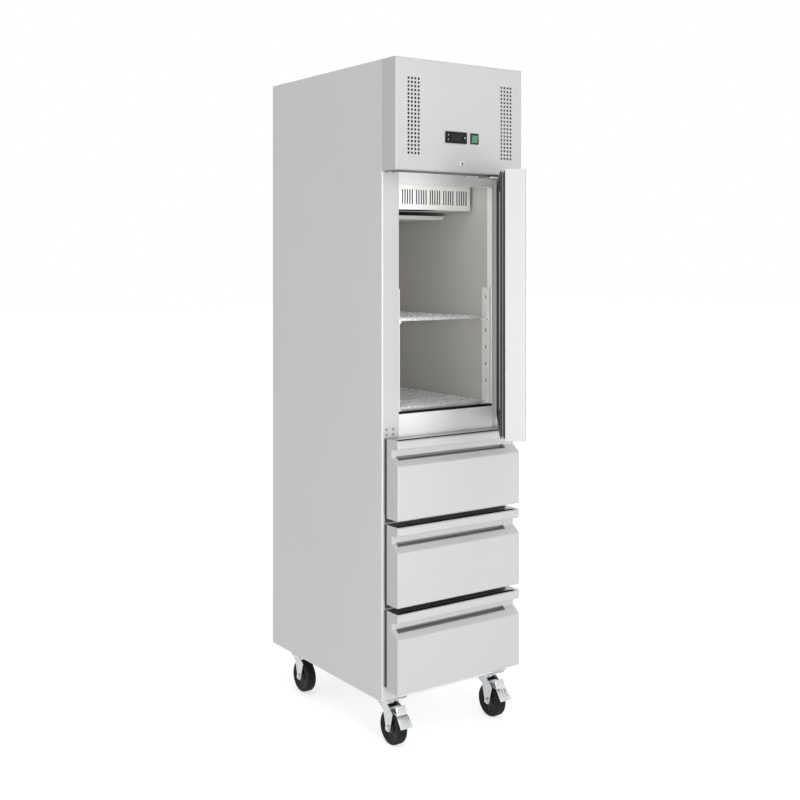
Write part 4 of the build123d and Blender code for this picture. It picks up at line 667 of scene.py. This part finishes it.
def seal(name, half_x, low_z, high_z, base_y):
    """A magnetic seal: a black foot, a bellows rib in grey as painted highlight, and a black head,
    drawn out in rings.
    """
    width, middle_z, half_z = 16, (low_z + high_z) / 2, (high_z - low_z) / 2
    outer = [(0, 2.4), (0.6, 3.0), (5.4, 3.3), (5.4, 4.7), (0.8, 5.0), (0.2, 5.6), (0.2, 8.0),
             (0.8, 8.6), (5.4, 8.9), (5.4, 10.3), (0.6, 10.6), (0, 11.2), (0, 12.8), (0.8, 13.6),
             (4.4, 13.6), (5.2, 12.9), (6.0, 13.6)]
    profile = outer + [(width - inset, rise) for inset, rise in reversed(outer)] + [(width, 0)]
    bpy.ops.mesh.primitive_plane_add(size=1, location=(0, base_y / 1000, middle_z / 1000),
                                     rotation=(-math.pi / 2, 0, 0))
    bpy.context.object.scale = (2 * half_x / 1000, 2 * half_z / 1000, 1)
    piece = settle(name)
    steps, inset, rise = [], 0.0, 0.0
    for next_inset, next_rise in profile:
        steps.append(draw_out(0, next_rise - rise, 0))
        steps.append(widen((half_x - next_inset) / (half_x - inset), 1,
                           (half_z - next_inset) / (half_z - inset),
                           (0, base_y + next_rise, middle_z)))
        inset, rise = next_inset, next_rise
    shape(piece, "FACE", every, *steps)
    centre = Vector((0, base_y / 1000, middle_z / 1000))
    shape(piece, "FACE", lambda f: (f.calc_center_median() - centre).length < 1e-4,
          lambda: bpy.ops.mesh.delete(type="ONLY_FACE"))
    shape(piece, "EDGE", lambda e: e.is_boundary, bpy.ops.mesh.bridge_edge_loops, outward)
    for rubber in (seal_rubber, rib_sheen_grey):
        piece.data.materials.append(rubber)
    # The middle rib's grey is a painted highlight.
    for face in piece.data.polygons:
        rise = face.center.y * 1000 - base_y
        face.material_index = 1 if 4.9 < rise < 8.7 else 0
    return piece


door_hinge, door_angle, door_thick = Vector((0.219, -0.175134, 0)), 51.5, 56
door_turn = (Matrix.Translation(door_hinge) @ Matrix.Rotation(math.radians(door_angle), 4, "Z")
             @ Matrix.Translation(-door_hinge))
door_seal = seal("door_seal", 222, 931, 1654, face_y + door_thick)
door_seal.data.transform(door_turn)
fit(door_seal, None, "door", "door_gasket", smooth=25)

# Hinges: pressed stainless brackets screwed to the right stile, and dull caps in the
# spare holes of the left one for a door hung the other way.
dress("hinge_brackets", finish("bracket steel", (0.62, 0.62, 0.62), 0.3, 1.0, (300, 300, 300),
                               cloud=20, tone=0.08, depth=0.06, edge=0.7, wear_and_sheen_amount=0.6))
stile_y = -120.134
hinge_screw = cross_head("hinge_screw", 4.5, 2.4)
inner_x, outer_x, low_rows, high_rows = 196.25, 219.75, (906.85, 922.15), (1671.35, 1686.65)
hinge_places = [(x, stile_y - 3, z) for x in (inner_x, outer_x) for z in high_rows]
hinge_places += [(inner_x, stile_y - 3, low_rows[0]), (outer_x, stile_y - 3, low_rows[0]),
                 (inner_x, stile_y - 3, low_rows[1])]
screws = joined("hinge_screws", [twin(hinge_screw, "screw", towards(0, -1, 0, place))
                                 for place in hinge_places])
fit(screws, bright_zinc, "cabinet", "fasteners")
hole_cap = turned("hole_cap", [(4.5, 0), (4.5, 0.5), (4.1, 1.0), (3.4, 1.2), (2.4, 1.2), (2.0, 0.9),
                               (0.4, 0.85)], sides=28)
caps = joined("hinge_hole_caps", [twin(hole_cap, "cap", towards(0, -1, 0, (x, stile_y, z)))
                                  for x in (-inner_x, -outer_x) for z in low_rows + high_rows])
grey_plastic = finish("grey cap plastic", (0.33, 0.33, 0.33), 0.4, 0.0, cloud=90, tone=0.06, edge=0)
fit(caps, grey_plastic, "cabinet", slot="fasteners")
for tool in (hinge_screw, hole_cap):
    bpy.data.objects.remove(tool)

# Drawers: a stainless front folded into a full-width grip over a finger slot lined in
# grey as painted shade, with a black strip along its top as painted shade in the gap. It
# stands on a frame for a food pan, which runs on zinc-plated telescopic slides.
def painted_shade_on_top(material):
    """Paints shade on the level top of a front with a darker base colour, and makes it fully
    metallic and smoother, so that it mirrors the dark gap over it.
    """
    tree = material.node_tree
    skin = tree.nodes["Principled BSDF"]
    facing = wired(tree, "ShaderNodeNewGeometry").outputs["Normal"]
    upward = wired(tree, "ShaderNodeSeparateXYZ", {"Vector": facing}).outputs["Z"]
    top = wired(tree, "ShaderNodeMapRange",
                {"Value": upward, "From Min": 0.93, "From Max": 0.99}).outputs[0]
    for socket, value in (("Roughness", 0.32), ("Metallic", 1.0)):
        feed = skin.inputs[socket]
        before = feed.links[0].from_socket if feed.is_linked else feed.default_value
        mixed = wired(tree, "ShaderNodeMix", {"Factor": top, "A": before, "B": value})
        tree.links.new(mixed.outputs["Result"], feed)
    # The top's base colour is darkened: painted shade.
    feed = skin.inputs["Base Color"]
    mixed = wired(tree, "ShaderNodeMix", {"Factor": top, "A": feed.links[0].from_socket,
                                          "B": (0.5, 0.5, 0.5, 1)}, data_type="RGBA")
    tree.links.new(mixed.outputs["Result"], feed)


slide_zinc = finish("slide zinc", (0.58, 0.59, 0.60), 0.3, 1.0, (1200, 12, 1200), cloud=12,
                    tone=0.08, smear=0.15, depth=0.06, edge=0.3)
frame_steel = finish("drawer frame steel", (0.60, 0.60, 0.60), 0.34, 1.0, (900, 8, 900), cloud=5,
                     tone=0.07, depth=0.1, edge=0.4)
dress("slide_outers", slide_zinc)
drawer_steel = finish("drawer front steel", (0.60, 0.60, 0.595), 0.58, 0.15, (7, 1400, 1400),
                      cloud=2.5, tone=0.06, smear=0.10, depth=0.12, edge=0.6, wear_and_sheen_amount=0.8)
painted_shade_on_top(drawer_steel)
slot_shade_grey = finish("grey painted slot shade", (0.30, 0.30, 0.30), 0.6, 0.0, (900, 900, 900), cloud=20,
                     tone=0.15, depth=0.2, edge=0, Specular_IOR_Level=0.2)
lowest_front, front_pitch, front_tall, front_thick = 172, 248, 230, 56
for number in (1, 2, 3):
    bottom = lowest_front + front_pitch * (number - 1)
    body = f"drawer_{number}"
    dress(f"drawer_front_{number}", drawer_steel)
    front_top = bottom + front_tall
    low, high = front_top - 60.1, front_top - 49.4
    slot_shade = billet(f"finger_slot_shade_{number}", (-211.8, face_y + 20.4, low),
                    (187.8, face_y + 47.8, high))
    shape(slot_shade, "FACE", lambda f: f.normal.y < -0.9,
          lambda: bpy.ops.mesh.inset(thickness=0.0008, depth=0), draw_out(0, 26.6, 0))
    shape(slot_shade, "VERT", lambda v: v.co.z > (high - 1) / 1000 and v.co.y < (face_y + 22) / 1000,
          lambda: bpy.ops.transform.translate(value=(0, 0.0118, 0)))
    fit(slot_shade, slot_shade_grey, body, slot=f"drawer_front_{number}")
    # A black strip on each front's top: painted shade in the gap over it.
    top_shade_strip = billet(f"drawer_top_shade_strip_{number}", (-224, face_y + 2.6, front_top + 0.02),
                       (210, face_y + 15, front_top + 0.7))
    fit(rounded(top_shade_strip, 0.25, 2), black_shade, body, slot=f"drawer_front_{number}")
    dress(f"drawer_frame_{number}", frame_steel)
    dress(f"slide_middle_{number}", slide_zinc)
    drawer_seal = seal(f"drawer_seal_{number}", 227, bottom + 6, bottom + 228,
                       face_y + front_thick)
    fit(drawer_seal, None, body, f"drawer_gasket_{number}", smooth=25)

# Mullion strips: dark grey strips on the rails between the drawers, where the seals of
# the two drawers leave them bare, painted shade for the gaps there. A strip of the
# black painted shade lies on the sill, under the lower shelf.
gap_shade_grey = finish("dark grey painted gap shade", (0.07, 0.07, 0.07), 0.5, 0.0, (700, 700, 700),
                   cloud=30, tone=0.15, depth=0.1, edge=0.4)
gap_shade_reach, gap_shade_tall, sill_reach = 226, 21, 175.9
gap_shades = [rounded(billet("gap_shade", (-gap_shade_reach, stile_y - 1.8, low),
                        (gap_shade_reach, stile_y - 0.02, low + gap_shade_tall)), 0.6, 2)
         for low in (404, 652)]
fit(joined("mullion_gap_shades", gap_shades), gap_shade_grey, "cabinet", slot="front_rails")
# A black strip on the sill: painted shade under the lower shelf.
sill_shade_strip = billet("sill_shade_strip", (-sill_reach, stile_y + 1, 963.02),
                    (sill_reach, stile_y + 12, 970))
fit(rounded(sill_shade_strip, 0.6, 2), black_shade, "cabinet", slot="front_rails")

# Castors: zinc-plated pressed steel swivel castors, 100 mm. A plate bolted under the
# cabinet carries a ball race, and the fork hangs from it.
plated = finish("castor zinc plate", (0.60, 0.61, 0.62), 0.3, 1.0, (300, 300, 300), cloud=30,
                tone=0.14, smear=0.2, depth=0.08, edge=0.4)
dress("castor_plates", plated)
castors = {"front_left": (-186, -74.134), "front_right": (186, -74.134),
           "rear_left": (-186, 439.866), "rear_right": (186, 439.866)}
bolt = joined("castor_bolt", [
    turned("washer", [(8.6, 0), (8.6, 0.9), (8.2, 1.1)], sides=32),
    rounded(turned("head", [(7.5, 1.0), (7.5, 4.4), (6.5, 5)], sides=6), 0.25, 2)])
bolts = joined("castor_bolts", [twin(bolt, "bolt", towards(0, 0, -1, (x + across, y + along, 132)))
                                for x, y in castors.values() for across in (-29, 29)
                                for along in (-39, 39)])
fit(bolts, bright_zinc, "cabinet", slot="fasteners")
bpy.data.objects.remove(bolt)

# Fork: a domed crown with two legs swept back to the axle, each with a pressed hollow
# and an eye for the brake, and a hexagon bolt as the axle.
crown = turned("crown", [(14, 112.3), (23.6, 112.3), (25.4, 113.2), (26, 114.8), (26, 116.6),
                         (25.1, 117.2), (25.1, 118.6), (26, 119.2), (26, 121.2), (25, 122.9),
                         (23, 123.7), (12, 123.7)], sides=64)
leg = turned("leg", [(11, 18.4), (11, 20.85)], (0, 0, 0), (1, 0, 0), 40)
leg.data.transform(Matrix.Translation((0, -0.034, 0.050)))
shape(leg, "FACE", lambda f: f.normal.z > 0.02 and abs(f.normal.x) < 0.5,
      draw_out(0, 0, 0), widen(1, 2.15, 0, (0, -34, 96)), draw_out(0, 0, 0),
      lambda: bpy.ops.transform.translate(value=(0, 0.034, 0.0277)),
      widen(1, 1.057, 1, (0, 0, 123.7)))
shape(leg, "FACE", lambda f: False, outward)
for way in (1, -1):
    shape(leg, "FACE", lambda f: f.normal.x * way > 0.9, bpy.ops.mesh.dissolve_faces)
shape(leg, "FACE", lambda f: f.normal.x > 0.9,
      lambda: bpy.ops.mesh.inset(thickness=0.0045, depth=0),
      lambda: bpy.ops.mesh.inset(thickness=0.0012, depth=-0.0009))
rounded(leg, 0.5, 2, 40)
sideways, axle_centre, brake_pin = (1, 0, 0), (0, -34, 50), (0, -36, 106)
eye = turned("eye", [(7.5, 18.1), (7.5, 21.1), (6.9, 21.5), (4.2, 21.5), (3.8, 21.1)],
             brake_pin, sideways, 28)
nut = rounded(turned("nut", [(8, 21.4), (8, 25.2), (7, 25.85)], axle_centre, sideways, 6), 0.3, 2)
washer = turned("washer", [(9.6, 20.7), (9.6, 21.5), (9.2, 21.7)], axle_centre, sideways, 36)
half = joined("half", [leg, eye, nut, washer])
axle = turned("axle", [(5, -20), (5, 20)], axle_centre, sideways, 24)
fork = joined("fork", [crown, half, twin(half, "other_half", Matrix.Scale(-1, 4, (1, 0, 0))), axle])

# Wheel: a grooved tread of black polymer moulded round a nylon hub with ribs and a
# bearing, which turns on the axle bolt.
wheel_rubber = finish("black wheel polymer", (0.008, 0.008, 0.0085), 0.55, 0.0, (500, 500, 500),
                      cloud=40, tone=0.35, smear=0.2, depth=0.2, edge=0, Specular_IOR_Level=0.2)
hub_plastic = finish("black hub nylon", (0.03, 0.03, 0.032), 0.4, 0.0, (500, 500, 500), cloud=40,
                     tone=0.25, smear=0.2, depth=0.1, edge=0)
tread = turned("tread", [(33, -12.5), (36, -14.5), (43.5, -16), (47.5, -15), (49.4, -12.5),
                         (50, -9.5), (50, -6.2), (49.2, -5.8), (49.2, -5.0), (50, -4.6), (50, -0.5),
                         (49.2, -0.4), (49.2, 0.4), (50, 0.5), (50, 4.6), (49.2, 5.0), (49.2, 5.8),
                         (50, 6.2), (50, 9.5), (49.4, 12.5), (47.5, 15), (43.5, 16), (36, 14.5),
                         (33, 12.5)], (0, 0, 0), sideways, 96)
lug = rounded(billet("lug", (7.2, -0.9, 48.6), (12.2, 0.9, 49.9)), 0.3, 1)
lugs = [twin(lug, "lug", Matrix.Rotation(2 * math.pi * turn / 36, 4, "X")
             @ Matrix.Scale(side, 4, (1, 0, 0))) for turn in range(36) for side in (-1, 1)]
bpy.data.objects.remove(lug)
tyre = joined("tyre", [tread, *lugs])
hub = turned("hub", [(5.2, -15.9), (10, -15.9), (10.6, -15.2), (14.4, -15.2), (15, -14.6),
                     (15.6, -11), (33.4, -9.6), (34, -12.8), (34, 12.8), (33.4, 9.6), (15.6, 11),
                     (15, 14.6), (14.4, 15.2), (10.6, 15.2), (10, 15.9), (5.2, 15.9)],
             (0, 0, 0), sideways, 64)
rib = rounded(billet("rib", (-13.2, -1.3, 14), (13.2, 1.3, 33.8)), 0.5, 2)
ribs = [twin(rib, "rib", Matrix.Rotation(2 * math.pi * turn / 6, 4, "X")) for turn in range(6)]
bpy.data.objects.remove(rib)
hub = joined("hub", [hub, *ribs])

# Brake pedal: a plated pressing curled round its pin, with a raised release tab and a
# wide ribbed toe.
arm = billet("arm", (-17, -74, 93.7), (17, -38, 96.2))
shape(arm, "VERT", lambda v: v.co.y > -0.05,
      lambda: bpy.ops.transform.translate(value=(0, 0, 0.0105)))
toe = billet("toe", (-17, -76.5, 93.7), (17, -74, 96.2))
shape(toe, "FACE", lambda f: f.normal.y < -0.9,
      draw_out(0, -1.6, -1.2), widen(1.12, 1, 1, (0, 0, 0)),
      draw_out(0, -21.5, -25.5), widen(1.12, 1, 1, (0, 0, 0)),
      draw_out(0, -1.2, -2.4), widen(0.94, 1, 1, (0, 0, 0)))
tab = billet("tab", (-17, -76.3, 94), (17, -73.8, 97))
shape(tab, "FACE", lambda f: f.normal.z > 0.9,
      draw_out(0, 7.2, 21.2), widen(0.97, 1, 1, (0, 0, 0)),
      draw_out(0, 0.9, 2.4), widen(0.9, 1, 1, (0, 0, 0)))
ridges = []
for across in (-11, 0, 11):
    ridge = rounded(billet("ridge", (across - 1.7, -2, -14), (across + 1.7, 0.6, 14)), 1.1, 3)
    ridge.data.transform(Matrix.Translation((0, -0.0893, 0.0822))
                         @ Matrix.Rotation(math.radians(-40.5), 4, "X"))
    ridges.append(ridge)
for part in (arm, toe, tab):
    rounded(part, 0.7, 2)
curl = turned("curl", [(4.6, -17), (4.6, 17)], brake_pin, sideways, 32)
pin = turned("pin", [(3, -22), (3, 22)], brake_pin, sideways, 24)
pedal = joined("pedal", [arm, toe, tab, rounded(curl, 0.6, 2), rounded(pin, 0.5, 2), *ridges])

# Brake shoe: a block of the wheels' black polymer on a spring leaf under the fork's
# crown, just clear of the tyre. Only the front castors have one.
shoe = joined("shoe", [rounded(billet("block", (-15.5, -30, 102), (15.5, 14, 107.2)), 0.8, 2),
                       rounded(billet("leaf", (-17.8, -30, 107.4), (17.8, 20, 108.6)), 0.3, 2)])

# Castors put together: each fork and wheel is set under its own corner, and the front
# two get a pedal and a shoe as well.
for place, (x, y) in castors.items():
    move = Matrix.Translation((x, y, 0))
    roll = Matrix.Translation((x, y - 34, 50))
    fit(twin(fork, f"fork_{place}_piece", move), plated, f"fork_{place}", f"castor_fork_{place}")
    fit(twin(tyre, f"tyre_{place}", roll), wheel_rubber, f"wheel_{place}", f"castor_wheel_{place}")
    fit(twin(hub, f"hub_{place}", roll), hub_plastic, f"wheel_{place}",
        slot=f"castor_wheel_{place}")
    if place.startswith("front"):
        fit(twin(pedal, f"pedal_{place}_piece", move), bright_zinc, f"pedal_{place}",
            f"brake_pedal_{place}")
        fit(twin(shoe, f"brake_shoe_{place}", move), wheel_rubber, f"fork_{place}",
            slot=f"castor_fork_{place}")
for pattern in (fork, tyre, hub, pedal, shoe):
    bpy.data.objects.remove(pattern)

# Mains inlet: a black moulded appliance inlet with three flat contacts, let into the
# back panel.
dress("mains_inlet", finish("black inlet plastic", (0.02, 0.02, 0.02), 0.4, 0.0, (1500, 1500, 1500),
                            cloud=20, tone=0.3, depth=0.1, edge=0.6))
